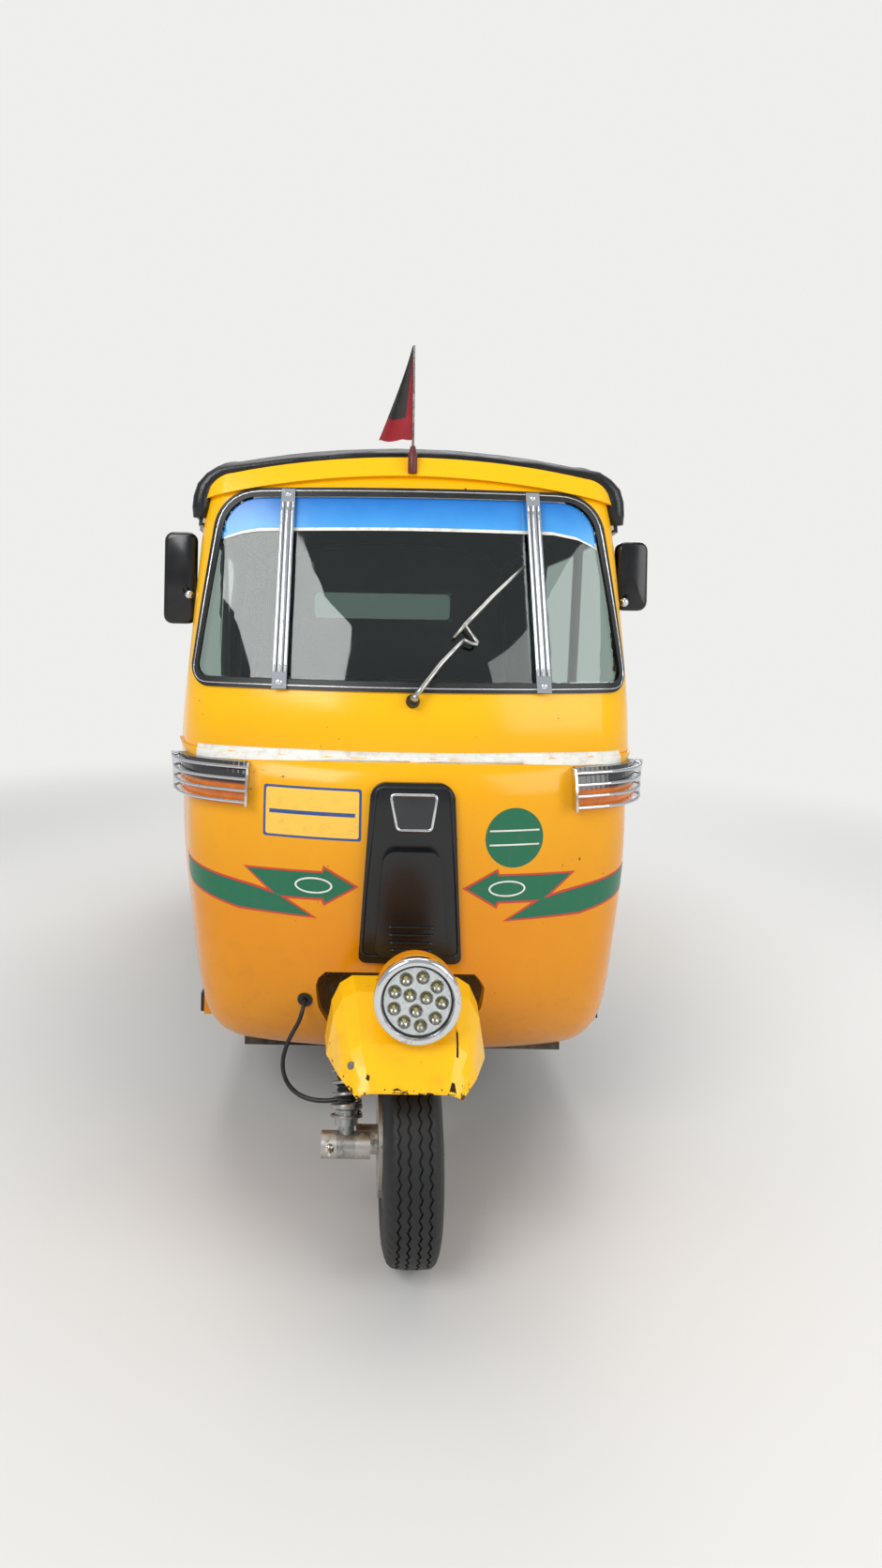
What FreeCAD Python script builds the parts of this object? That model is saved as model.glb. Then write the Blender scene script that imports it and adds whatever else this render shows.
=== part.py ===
"""Auto rickshaw: a three-wheeled taxi with a sheet-steel front, a folding-fabric hood and a rear engine.

The vehicle faces -Y, with +X on its own left side, +Z up and the ground at Z = 0.
The origin is on the ground, halfway along its length.  Lengths are millimetres.
A place along the vehicle is given as the distance behind the front axle.
"""
import FreeCAD, Part
import math
import os
import re
import Sketcher

Vector = FreeCAD.Vector
doc = FreeCAD.newDocument("AutoRickshaw")

# Driving sizes: alias, value, meaning
SIZES = [
    ("Wheelbase", 2000, "front axle to rear axle"),
    ("FrontOverhang", 215, "front axle to the lip of the mudguard"),
    ("RearOverhang", 420, "rear axle to the back of the bumper"),
    ("Track", 1150, "between the middles of the rear tyres"),
    ("BodyHalf", 640, "half the width of the rear body"),
    ("RoofTop", 1700, "crown of the hood"),
    ("FloorTop", 300, "top of the cabin floor"),
    ("FloorDepth", 30, "depth of the floor pressing"),
    ("FloorHalf", 455, "half the width of the cabin floor"),
    ("SeatGap", 0.3, "gap between a piece and its seat"),
    ("RunningGap", 0.3, "radial gap of a wheel or hinge on its pin"),
    ("SwingGap", 5, "gap round a panel that swings"),
    ("TyreRadius", 205, "outer radius of a tyre"),
    ("TyreHalf", 56, "half the width of a tyre"),
    ("RimRadius", 102, "radius of the bead seat"),
    ("RimHalf", 46, "half the width of a rim"),
    ("HubRadius", 36, "radius of a wheel hub"),
    ("AxleRadius", 14, "radius of a stub axle"),
    ("DrumRadius", 84, "radius of a brake drum"),
    ("PlateRadius", 96, "radius of a brake back plate"),
    ("PlateThick", 8, "thickness of a brake back plate"),
    ("CowlHalf", 557, "half the width of the front at the belt"),
    ("NoseFront", 45, "foremost sheet of the nose, behind the front axle"),
    ("NoseBottom", 275, "lower edge of the nose"),
    ("BeltHeight", 958, "ledge between the nose and the windscreen frame"),
    ("FrameTop", 1641, "crown of the windscreen frame"),
    ("WallThick", 16, "thickness of the front walls"),
    ("DoorFront", 372, "front edge of the driver's doorway"),
    ("RoofArch", 2305, "radius of the roof line seen from the front"),
    ("ScreenBottom", 1096, "lower edge of the windscreen rubber"),
    ("ScreenTop", 1566, "upper edge of the windscreen rubber"),
    ("ScreenHalfLow", 512, "half the width of the rubber at the bottom"),
    ("ScreenHalfHigh", 458, "half the width of the rubber at the top"),
    ("ScreenCornerLow", 48, "lower corner radius of the rubber"),
    ("ScreenCornerHigh", 105, "upper corner radius of the rubber"),
    ("SealWidth", 22, "width of the windscreen rubber"),
    ("SealProud", 5, "how far the rubber stands proud"),
    ("GlassThick", 5, "thickness of the windscreen"),
    ("VisorDepth", 13, "how far the roof visor stands proud"),
    ("VisorLow", 1596, "crown of the lower edge of the visor"),
    ("BarWidth", 32, "width of a windscreen bar"),
    ("BarThick", 10, "thickness of a windscreen bar"),
    ("BarPlace", 289, "middle of a windscreen bar from the middle"),
    ("ClampHeight", 30, "height of a bar's clamp"),
    ("PanelProud", 12, "how far the black nose panel stands proud"),
    ("PanelHalfHigh", 86, "half the width of the nose panel at the top"),
    ("PanelHalfLow", 107, "half the width of the nose panel at the bottom"),
    ("PanelTop", 915, "top of the nose panel"),
    ("PanelLow", 541, "bottom of the nose panel"),
    ("BossProud", 30, "how far the ribbed middle of the nose panel stands proud"),
    ("LampProud", 17, "how far an indicator stands proud"),
    ("LampInner", 352, "inner end of an indicator from the middle"),
    ("LampBack", 246, "outer end of an indicator, behind the front axle"),
    ("LampLow", 853, "bottom of an indicator"),
    ("LampHigh", 941, "top of an indicator"),
    ("GuardProud", 29, "wire guard from the sheet of the nose"),
    ("GuardWire", 7, "diameter of a guard wire"),
    ("HeadAngle", 24, "rake of the steering axis, degrees"),
    ("AxisOffset", -58, "steering axis behind the front axle, at axle height"),
    ("ColumnRadius", 17, "radius of the steering column"),
    ("HeadTubeRadius", 27, "outer radius of the steering head"),
    ("HeadTubeLow", 560, "lower end of the steering head"),
    ("HeadTubeHigh", 840, "upper end of the steering head"),
    ("ColumnLow", 452, "lower end of the steering column"),
    ("ColumnHigh", 975, "upper end of the steering column"),
    ("GuardOffset", -15, "middle of the mudguard from the middle of the wheel"),
    ("GuardSheet", 4, "thickness of the mudguard"),
    ("HeadlampRadius", 78, "outer radius of the headlamp rim"),
    ("HeadlampHeight", 573, "height of the headlamp"),
    ("HeadlampFront", -200, "front of the headlamp rim"),
    ("HeadlampDepth", 118, "depth of the headlamp bowl"),
    ("LegPlace", -125, "middle of the suspension leg"),
    ("PivotPlace", -60, "link pivot, behind the front axle"),
    ("PivotHeight", 232, "height of the link pivot"),
    ("PivotRadius", 23.5, "radius of the link pivot tube"),
    ("LegRadius", 15.5, "radius of the leg sleeve"),
    ("SpringRadius", 31, "outer radius of the front spring"),
    ("SpringWire", 7, "diameter of the spring wire"),
    ("CableRadius", 4.5, "radius of the brake cable"),
    ("BarGrip", 270, "handlebar grip end from the middle"),
    ("HandleHeight", 1000, "height of the handlebar clamp"),
    ("BarPull", 104, "how far the grips are pulled back from the clamp"),
    ("BarRadius", 11, "radius of the handlebar tube"),
    ("HoodThick", 10, "thickness of the hood"),
    ("HoodHem", 905, "lower edge of the hood's back"),
    ("HoodEdge", 1478, "lower edge of the hood's sides"),
    ("HoodFront", 349, "front edge of the hood"),
    ("HoodQuarter", 1470, "front edge of the hood's rear quarters"),
    ("HoodLean", 40, "lean of the back of the hood"),
    ("WindowHalf", 340, "half the width of the rear window"),
    ("WindowLow", 1276, "bottom of the rear window"),
    ("WindowHigh", 1414, "top of the rear window"),
    ("HoopRadius", 11, "radius of the hood frame tubes"),
    ("PillarPlace", 672, "door pillar behind the front axle"),
    ("SillHigh", 322, "top of a side sill"),
    ("SillLow", 270, "bottom of a side sill"),
    ("SillHalf", 484, "outside of a side sill from the middle"),
    ("StripThick", 9, "thickness of a sill rubber"),
    ("BodyFront", -670, "front of the rear body from the rear axle"),
    ("BodyBack", 370, "back of the rear body from the rear axle"),
    ("BodyLow", 236, "lower edge of the rear body"),
    ("BodyHigh", 942, "upper edge of the rear body"),
    ("BodyWall", 18, "thickness of the rear body walls"),
    ("BodyCorner", 90, "corner radius of the rear body seen from above"),
    ("ArchRadius", 256, "radius of a rear wheel arch"),
    ("HousingPlace", 405, "inner wall of a wheel housing"),
    ("HousingTop", 482, "top of a wheel housing"),
    ("LidHalf", 330, "half the width of the engine lid"),
    ("LidLow", 392, "bottom of the engine lid"),
    ("LidHigh", 812, "top of the engine lid"),
    ("LidHingeRadius", 7, "radius of the engine lid's hinge knuckles"),
    ("LidPinRadius", 3.5, "radius of the engine lid's hinge pin"),
    ("SeatHigh", 600, "top of the driver's seat cushion"),
    ("SeatHalf", 235, "half the width of the driver's seat"),
    ("SeatDepth", 250, "depth of the driver's seat"),
    ("SeatPlace", 607, "front of the driver's seat"),
    ("CushionThick", 110, "thickness of a seat cushion"),
    ("BenchHigh", 612, "top of the passenger bench"),
    ("BenchHalf", 560, "half the width of the passenger bench"),
    ("BenchFront", -500, "front of the passenger bench from the rear axle"),
    ("BenchDepth", 450, "depth of the passenger bench"),
    ("MirrorStem", 1306, "height of a mirror's stem"),
    ("MirrorPlace", 385, "front of a mirror behind the front axle"),
    ("MirrorDepth", 30, "depth of a mirror"),
    ("FlagTop", 1906, "tip of the flag pole"),
]

sheet = doc.addObject("Spreadsheet::Sheet", "Sizes")
for row, (alias, value, meaning) in enumerate(SIZES, start=1):
    sheet.set(f"A{row}", alias)
    sheet.set(f"B{row}", str(value))
    sheet.setAlias(f"B{row}", alias)
    sheet.set(f"C{row}", meaning)
doc.recompute()


class SheetReader:
    """Gives a driving size by its alias, for the shapes that are made in code."""

    def __getattr__(self, alias):
        return float(sheet.get(alias))


size = SheetReader()
parts = {}


# Helpers for features bound to the sheet

def bound(expression):
    """Points every alias of an expression at the sheet."""
    return re.sub(r"\b([A-Z][A-Za-z]+)\b", r"Sizes.\1", expression)


def bind(feature, **expressions):
    for name, expression in expressions.items():
        feature.setExpression(name.replace("_", "."), bound(str(expression)))


def behind(expression):
    """Y of a place that is given behind the front axle, as an expression."""
    return f"((FrontOverhang - Wheelbase - RearOverhang) / 2 + ({expression}))"


def y_at(distance):
    """Y of a place that is given behind the front axle, as a number."""
    return (size.FrontOverhang - size.Wheelbase - size.RearOverhang) / 2 + distance


def part(node, feature):
    """Names a finished sub-part: its label is the name of its file."""
    feature.Label = node
    parts[node] = feature
    return feature


def box(name, low, high):
    """A block between two corners; Y is given behind the front axle."""
    block = doc.addObject("Part::Box", name)
    bind(block, Length=f"({high[0]}) - ({low[0]})", Width=f"({high[1]}) - ({low[1]})",
         Height=f"({high[2]}) - ({low[2]})")
    bind(block, Placement_Base_x=low[0], Placement_Base_y=behind(low[1]), Placement_Base_z=low[2])
    return block


def fuse(name, *shapes):
    joined = doc.addObject("Part::MultiFuse", name)
    joined.Shapes = list(shapes)
    return joined


def both_sides(name, piece):
    """A piece and its mirror image on the other side of the vehicle, as one sub-part."""
    mirror = doc.addObject("Part::Mirroring", name + "Mirror")
    mirror.Source = piece
    mirror.Normal = Vector(1, 0, 0)
    pair = doc.addObject("Part::Compound", name)
    pair.Links = [piece, mirror]
    return pair


def made(name, shape):
    """A sub-part whose shape is worked out in code."""
    feature = doc.addObject("Part::Feature", name)
    feature.Shape = shape
    return feature


def sketch_on(body, role, name):
    sketch = body.newObject("Sketcher::SketchObject", name)
    plane = [feature for feature in body.Origin.OriginFeatures if feature.Role == role][0]
    sketch.AttachmentSupport = [(plane, "")]
    sketch.MapMode = "FlatFace"
    return sketch


def polygon(sketch, corners):
    """A closed outline whose corner coordinates are expressions of the sheet."""
    values = [(number(u), number(v)) for u, v in corners]
    count = len(corners)
    for index in range(count):
        start = Vector(*values[index], 0)
        end = Vector(*values[(index + 1) % count], 0)
        sketch.addGeometry(Part.LineSegment(start, end), False)
    for index in range(count):
        sketch.addConstraint(Sketcher.Constraint("Coincident", index, 2, (index + 1) % count, 1))
    for index, corner in enumerate(corners):
        for kind, expression, value in zip(("DistanceX", "DistanceY"), corner, values[index]):
            place = sketch.addConstraint(Sketcher.Constraint(kind, -1, 1, index, 1, value))
            sketch.renameConstraint(place, f"{kind}{index}")
            sketch.setExpression(f"Constraints.{kind}{index}", bound(str(expression)))


probe = doc.addObject("App::FeaturePython", "Probe")
probe.addProperty("App::PropertyFloat", "Value")


def number(expression):
    """The present value of an expression of the sheet."""
    probe.setExpression("Value", bound(str(expression)))
    doc.recompute([probe])
    return float(probe.Value)


def turned(node, name, corners, x, y, z):
    """A body turned about an axle that runs along X; corners are along the axle and from it."""
    body = doc.addObject("PartDesign::Body", name)
    sketch = sketch_on(body, "XZ_Plane", name + "Section")
    polygon(sketch, corners)
    turn = body.newObject("PartDesign::Revolution", name + "Turn")
    turn.Profile = sketch
    turn.ReferenceAxis = (sketch, ["H_Axis"])
    turn.Angle = 360
    bind(body, Placement_Base_x=x, Placement_Base_y=behind(y), Placement_Base_z=z)
    return part(node, body)


# Helpers for shapes made in code

def rounded_wire(corners, point):
    """A closed outline of straight runs and tangent arcs; corners are (u, v, radius)."""
    edges = []
    previous_end = None
    first_start = None
    count = len(corners)
    for index, (u, v, radius) in enumerate(corners):
        here = Vector(u, v, 0)
        before = Vector(*corners[index - 1][:2], 0) - here
        after = Vector(*corners[(index + 1) % count][:2], 0) - here
        before.normalize()
        after.normalize()
        half = before.getAngle(after) / 2
        reach = radius / math.tan(half)
        start = here + before * reach
        end = here + after * reach
        towards = before + after
        towards.normalize()
        middle = here + towards * (radius / math.sin(half) - radius)
        if previous_end is not None:
            edges.append(Part.LineSegment(point(previous_end), point(start)).toShape())
        else:
            first_start = start
        edges.append(Part.Arc(point(start), point(middle), point(end)).toShape())
        previous_end = end
    edges.append(Part.LineSegment(point(previous_end), point(first_start)).toShape())
    return Part.Wire(edges)


def prism_along_y(corners, start, end):
    """A straight prism along Y from an outline in the XZ plane."""
    wire = rounded_wire(corners, lambda p: Vector(p.x, start, p.y))
    return Part.Face(wire).extrude(Vector(0, end - start, 0))


def prism_along_x(corners, start, end):
    """A straight prism along X from an outline in the YZ plane."""
    wire = rounded_wire(corners, lambda p: Vector(start, p.x, p.y))
    return Part.Face(wire).extrude(Vector(end - start, 0, 0))


def tube_path(points, bends):
    """Straight runs joined by tangent arcs; one radius for all bends, or a rule for cords."""
    points = [Vector(*p) for p in points]
    edges = []
    start = points[0]
    for index in range(1, len(points) - 1):
        here = points[index]
        before = points[index - 1] - here
        after = points[index + 1] - here
        half = before.getAngle(after) / 2
        if bends is None:
            reach = 0.45 * min(before.Length, after.Length)
            radius = reach * math.tan(half)
        else:
            radius = bends
            reach = radius / math.tan(half)
        before.normalize()
        after.normalize()
        towards = before + after
        towards.normalize()
        enter = here + before * reach
        leave = here + after * reach
        middle = here + towards * (radius / math.sin(half) - radius)
        edges.append(Part.LineSegment(start, enter).toShape())
        edges.append(Part.Arc(enter, middle, leave).toShape())
        start = leave
    edges.append(Part.LineSegment(start, points[-1]).toShape())
    return Part.Wire(edges)


def tube(points, radius, bends=None):
    """A solid round bar along a path of runs and bends."""
    path = tube_path(points, bends)
    first = Vector(*points[1]) - Vector(*points[0])
    ring = Part.Wire(Part.makeCircle(radius, Vector(*points[0]), first))
    pipe = path.makePipeShell([ring], True, False)
    return pipe


def mirrored(shape):
    return shape.mirror(Vector(0, 0, 0), Vector(1, 0, 0))


# Front panels: every front panel is cut from the same sections, seen from above.
# Each row is (share of the height, in from the widest, behind the foremost, front radius,
# corner radius, rear edge behind the doorway edge, angle that the sides spread at).

NOSE_ROWS = [
    (0.000, 152, 180, 1800, 90, 0, 16),
    (0.045, 94, 118, 1500, 110, 0, 16),
    (0.155, 60, 53, 1250, 130, 0, 16),
    (0.390, 37, 7, 1150, 150, 0, 16),
    (0.710, 15, 0, 1100, 165, 0, 16),
    (1.000, 0, 35, 1100, 165, 0, 16),
]
FRAME_ROWS = [
    (0.000, 7, 43, 1100, 165, 0, 16),
    (0.210, 16, 63, 1100, 160, 0, 13),
    (0.496, 35, 140, 1500, 115, 13, 7),
    (0.760, 49, 211, 2100, 85, 28, 3),
    (1.000, 61, 276, 2600, 70, 68, 0),
]


def plan_section(row, low, high, inset, rear_extra=0.0):
    """One closed section seen from above, moved inwards by an inset all round."""
    share, narrower, setback, front_radius, corner_radius, rear, spread = row
    height = low + share * (high - low)
    spread = math.radians(spread)
    along_side = Vector(math.sin(spread), math.cos(spread), 0)
    inwards = Vector(-math.cos(spread), math.sin(spread), 0)
    doorway = Vector(size.CowlHalf - narrower, y_at(size.DoorFront + rear), height) + inwards * inset
    doorway += along_side * ((y_at(size.DoorFront + rear) - doorway.y) / along_side.y)
    front = y_at(size.NoseFront + setback + inset)
    big = front_radius - inset
    small = corner_radius - inset
    front_centre = Vector(0, front + big, height)
    # The corner arc touches the side line and, from inside, the wide arc of the front
    offset = doorway + inwards * small - front_centre
    lengthwise = offset.dot(along_side)
    reach = lengthwise + math.sqrt(lengthwise ** 2 - offset.dot(offset) + (big - small) ** 2)
    side = doorway - along_side * reach
    corner_centre = side + inwards * small
    lean = math.atan2(corner_centre.x, front_centre.y - corner_centre.y)
    meet = front_centre + Vector(math.sin(lean), -math.cos(lean), 0) * big
    turn = (lean + math.pi / 2 - spread) / 2
    knee = corner_centre + Vector(math.sin(turn), -math.cos(turn), 0) * small
    rear_corner = doorway + along_side * (rear_extra / along_side.y)

    def flip(point):
        return Vector(-point.x, point.y, point.z)

    nose = Vector(0, front, height)
    edges = [
        Part.LineSegment(flip(rear_corner), flip(side)).toShape(),
        Part.Arc(flip(side), flip(knee), flip(meet)).toShape(),
        Part.Arc(flip(meet), nose, meet).toShape(),
        Part.Arc(meet, knee, side).toShape(),
        Part.LineSegment(side, rear_corner).toShape(),
        Part.LineSegment(rear_corner, flip(rear_corner)).toShape(),
    ]
    return Part.Wire(edges)


def nose_solid(inset, rear_extra=0.0):
    sections = [plan_section(row, size.NoseBottom, size.BeltHeight, inset, rear_extra) for row in NOSE_ROWS]
    return Part.makeLoft(sections, True, False)


def frame_solid(inset, rear_extra=0.0):
    low = size.BeltHeight + size.SeatGap
    sections = [plan_section(row, low, size.FrameTop + 4, inset, rear_extra) for row in FRAME_ROWS]
    return Part.makeLoft(sections, True, False)


REACH = 100.0


def nose_skin(outside, inside):
    """The layer of the nose between two insets, open at the back."""
    return nose_solid(outside).cut(nose_solid(inside, REACH))


def frame_skin(outside, inside):
    return frame_solid(outside).cut(frame_solid(inside, REACH))


def roof_line(crown):
    """Everything under the arched roof line that passes through a crown height."""
    centre = Vector(0, y_at(-REACH), crown - size.RoofArch)
    return Part.makeCylinder(size.RoofArch, 2 * size.Wheelbase, centre, Vector(0, 1, 0))


def steering_axis(height):
    """Point of the steering axis at a height."""
    rake = math.tan(math.radians(size.HeadAngle))
    return Vector(0, y_at(size.AxisOffset + (height - size.TyreRadius) * rake), height)


AXIS_DIRECTION = Vector(0, math.sin(math.radians(size.HeadAngle)), math.cos(math.radians(size.HeadAngle)))


# Hood: fabric over the roof, the rear quarters and the back.  Each row is
# (place behind the hood's front edge or its back, half width low, half width high, crown, corner radius)
HOOD_ROWS = [
    (("front", 0), 560, 508, -46, 80),
    (("front", 106), 572, 524, -2, 92),
    (("front", 700), 627, 578, 0, 104),
    (("front", 1090), 650, 596, -3, 110),
    (("back", -700), 650, 598, -8, 112),
    (("back", -90), 650, 592, -34, 118),
    (("back", -45), 638, 580, -46, 118),
    (("back", -20), 617, 559, -66, 112),
    (("back", -5), 590, 532, -98, 105),
    (("back", 0), 560, 502, -130, 100),
]
EAVE_DROP = 70


def hood_place(row):
    """Distance of a row behind the front axle."""
    origin, offset = row[0]
    if origin == "front":
        return size.HoodFront + offset
    return size.Wheelbase + size.BodyBack + size.SeatGap + size.HoodThick + offset


def hood_section(row, inset, sink):
    """One arched section seen from the front: sides, tangent-like corners and a bowed crown."""
    _, half_low, half_high, drop, corner = row
    half_low += size.BodyHalf + size.SeatGap + size.HoodThick - 650 - inset
    half_high += size.BodyHalf + size.SeatGap + size.HoodThick - 650 - inset
    crown = size.RoofTop + drop - inset
    low = size.HoodHem - sink
    radius = corner - inset
    eave = crown - EAVE_DROP
    y = y_at(hood_place(row))
    side_top = Vector(half_high, y, eave - radius * 0.55)
    knee = Vector(half_high - radius * 0.27, y, eave + radius * 0.06)
    crown_end = Vector(half_high - radius, y, crown - EAVE_DROP * 0.58)
    upright = size.BodyHigh + 1
    spread = (half_low - half_high) * (upright - low) / (side_top.z - upright)
    foot = Vector(half_low + spread, y, low)

    def flip(point):
        return Vector(-point.x, point.y, point.z)

    edges = [
        Part.LineSegment(flip(foot), flip(side_top)).toShape(),
        Part.Arc(flip(side_top), flip(knee), flip(crown_end)).toShape(),
        Part.Arc(flip(crown_end), Vector(0, y, crown), crown_end).toShape(),
        Part.Arc(crown_end, knee, side_top).toShape(),
        Part.LineSegment(side_top, foot).toShape(),
        Part.LineSegment(foot, flip(foot)).toShape(),
    ]
    return Part.Wire(edges)


def roof_prism():
    """Everything under the front edge of the hood, carried straight back."""
    section = hood_section(HOOD_ROWS[0], size.HoodThick + size.SeatGap, size.BeltHeight - REACH)
    section.translate(Vector(0, -4 * REACH, 0))
    return Part.Face(section).extrude(Vector(0, 8 * REACH, 0))


def hood_solid(inset):
    """The whole space under the hood, as a loft through its sections, with a leaning back."""
    sink = 2 * REACH if inset else 0
    sections = [hood_section(row, inset, sink) for row in HOOD_ROWS]
    if inset:
        first = sections[0].copy()
        first.translate(Vector(0, -REACH, 0))
        sections = [first] + sections
    solid = Part.makeLoft(sections, True, True)
    back = y_at(size.Wheelbase + size.BodyBack + size.SeatGap + size.HoodThick) - inset
    behind_it = Part.makePolygon([
        Vector(-2 * size.BodyHalf, back, 0), Vector(-2 * size.BodyHalf, back, size.BodyHigh + 1),
        Vector(-2 * size.BodyHalf, back - size.HoodLean, size.RoofTop),
        Vector(-2 * size.BodyHalf, back + REACH, size.RoofTop), Vector(-2 * size.BodyHalf, back + REACH, 0),
        Vector(-2 * size.BodyHalf, back, 0)])
    return solid.cut(Part.Face(behind_it).extrude(Vector(4 * size.BodyHalf, 0, 0)))


def hood_back(height):
    """Outer face of the leaning back at a height."""
    share = (height - size.BodyHigh - 1) / (size.RoofTop - size.BodyHigh - 1)
    return y_at(size.Wheelbase + size.BodyBack + size.SeatGap + size.HoodThick) - share * size.HoodLean


def make_hood():
    shell = hood_solid(0).cut(hood_solid(size.HoodThick))
    front = y_at(size.HoodFront - REACH)
    side_opening = prism_along_x([
        (front, size.HoodHem - REACH, 1), (y_at(size.HoodQuarter), size.HoodHem - REACH, 1),
        (y_at(size.HoodQuarter), size.HoodEdge, 70), (front, size.HoodEdge, 1)],
        -2 * size.BodyHalf, 2 * size.BodyHalf)
    shell = shell.cut(side_opening)
    return shell.cut(window_block(-size.SeatGap, -REACH, REACH))


def window_block(margin, near, far):
    """A leaning block behind the window outline, between two depths from the hood's face."""
    half = size.WindowHalf - margin
    low = size.WindowLow + margin
    high = size.WindowHigh - margin
    side = Part.makePolygon([
        Vector(-half, hood_back(low) + near, low), Vector(-half, hood_back(low) + far, low),
        Vector(-half, hood_back(high) + far, high), Vector(-half, hood_back(high) + near, high),
        Vector(-half, hood_back(low) + near, low)])
    return Part.Face(side).extrude(Vector(2 * half, 0, 0))


# The well that the front wheel and its mudguard turn in: radius about the steering axis and
# distance along it from axle height, for the -X side and for the +X side
WELL_LEFT = [(280, -100), (262, 60), (225, 150), (198, 183), (186, 205), (188, 240), (195, 262), (195, 305),
             (190, 318), (175, 330)]
WELL_RIGHT = [(280, -100), (262, 60), (225, 150), (198, 183), (167, 205), (153, 228), (154, 250), (160, 268),
              (160, 305), (151, 318), (139, 330)]


def make_well(margin=0.0):
    """The space swept by the front wheel and its mudguard, with the passage for the column."""
    foot = steering_axis(size.TyreRadius)
    halves = []
    for side, outline in ((-1, WELL_LEFT), (1, WELL_RIGHT)):
        neck = size.ColumnRadius + 14 + margin
        last = outline[-1][1] + margin
        rim = [(radius + margin, along) for radius, along in outline[:-1]]
        rim.append((outline[-1][0] + margin, last))
        column = [(neck, last), (neck, last + 110), (0, last + 110)]
        points = [(0, outline[0][1])] + rim + column
        wire = Part.makePolygon([foot + Vector(side * radius, 0, 0) + AXIS_DIRECTION * along
                                 for radius, along in points + [points[0]]])
        face = Part.Face(wire)
        halves += [face.revolve(foot, AXIS_DIRECTION, 90), face.revolve(foot, AXIS_DIRECTION, -90)]
    return halves[0].multiFuse(halves[1:])


WELL = make_well()
WELL_SHEET = 4.0
WELL_OUTSIDE = make_well(WELL_SHEET)


def make_wheel_well():
    """Sheet lining of the well, from the back of the nose down to the floor, with a neck for the column."""
    lining = WELL_OUTSIDE.cut(WELL).common(nose_solid(size.WallThick + size.SeatGap, REACH))
    low = size.NoseBottom - 12
    keep = Part.makeBox(2 * size.CowlHalf, 2 * size.DoorFront, size.BeltHeight,
                        Vector(-size.CowlHalf, y_at(0), low))
    neck_end = steering_axis(size.TyreRadius) + AXIS_DIRECTION * (WELL_LEFT[-1][1] + WELL_SHEET + 60)
    above = Part.makeCylinder(size.CowlHalf, size.BeltHeight, neck_end, AXIS_DIRECTION)
    lining = lining.common(keep).cut(above)
    return max(lining.Solids, key=lambda solid: solid.Volume)


def make_nose():
    """Pressed steel nose, with the well that the front wheel and its mudguard turn in."""
    shell = nose_skin(0, size.WallThick).cut(WELL)
    grommet_hole = Part.makeCylinder(GROMMET_RADIUS, 3 * REACH, grommet_centre(-REACH), Vector(0, 1, 0))
    return shell.cut(grommet_hole)


GROMMET_RADIUS = 11.0
# Brake cable, from its grommet in the nose to the back plate: across, behind the axle, height
CABLE_ROUTE = [
    (-218, 136, 441),
    (-218, 72, 441),
    (-227, 66, 408),
    (-238, 68, 388),
    (-252, 64, 362),
    (-261, 56, 331),
    (-258, 48, 305),
    (-244, 40, 284),
    (-222, 32, 271),
    (-194, 25, 266),
    (-160, 20, 268),
    (-126, 18, 277),
    (-96, 18, 287),
]


def grommet_centre(distance):
    x, _, z = CABLE_ROUTE[0]
    return Vector(x, y_at(distance), z)


def screen_outline(margin):
    """Windscreen outline seen from the front, moved inwards by a margin."""
    low = size.ScreenBottom + margin
    high = size.ScreenTop - margin
    half_low = size.ScreenHalfLow - margin
    half_high = size.ScreenHalfHigh - margin
    corner_low = size.ScreenCornerLow - margin
    corner_high = size.ScreenCornerHigh - margin
    return [
        (-half_low, low, corner_low),
        (half_low, low, corner_low),
        (half_high, high, corner_high),
        (-half_high, high, corner_high),
    ]


def screen_prism(margin):
    return prism_along_y(screen_outline(margin), y_at(-REACH), y_at(size.DoorFront + REACH))


def make_frame():
    """Windscreen frame: pillars, header and the sill under the glass."""
    shell = frame_skin(0, size.WallThick).common(roof_prism())
    return shell.cut(screen_prism(0))


def make_seal():
    ring = screen_prism(size.SeatGap).cut(screen_prism(size.SealWidth))
    return frame_skin(-size.SealProud, size.WallThick - 2).common(ring)


def make_glass():
    pane = screen_prism(size.SealWidth + size.SeatGap)
    return frame_skin(4, 4 + size.GlassThick).common(pane)


def make_visor():
    """Pressed steel visor across the header, under the front edge of the hood."""
    skin = frame_solid(-size.VisorDepth).cut(frame_solid(-size.SeatGap, REACH))
    skin = skin.common(roof_prism()).cut(roof_line(size.VisorLow))
    keep = Part.makeBox(4 * size.CowlHalf, size.HoodFront - size.SeatGap + REACH, size.RoofTop,
                        Vector(-2 * size.CowlHalf, y_at(-REACH), 0))
    return skin.common(keep)


def make_nose_panel():
    """Black moulded panel down the middle of the nose, with a raised ribbed middle."""
    outline = [
        (-size.PanelHalfLow, size.PanelLow, 14),
        (size.PanelHalfLow, size.PanelLow, 14),
        (size.PanelHalfHigh, size.PanelTop, 34),
        (-size.PanelHalfHigh, size.PanelTop, 34),
    ]
    boss = [(-74, size.PanelLow + 20, 20), (74, size.PanelLow + 20, 20),
            (58, size.PanelTop - 136, 26), (-58, size.PanelTop - 136, 26)]
    near = y_at(-REACH)
    far = y_at(size.NoseFront + REACH)
    plate = nose_skin(-size.PanelProud, -size.SeatGap).common(prism_along_y(outline, near, far))
    middle = nose_skin(-size.BossProud, -size.SeatGap).common(prism_along_y(boss, near, far))
    return plate.fuse(middle).removeSplitter()


def lamp_skin(outside, low, high):
    """The stretch of the nose from the inner end of an indicator round the corner to its back."""
    keep = Part.makeBox(size.CowlHalf, size.LampBack - 3 - size.SeatGap + REACH, high - low,
                        Vector(size.LampInner, y_at(-REACH), low))
    return nose_skin(-outside, -size.SeatGap).common(keep)


def make_indicators():
    lamp = lamp_skin(size.LampProud, size.LampLow, size.LampHigh)
    return Part.Compound([lamp, mirrored(lamp)])


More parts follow.
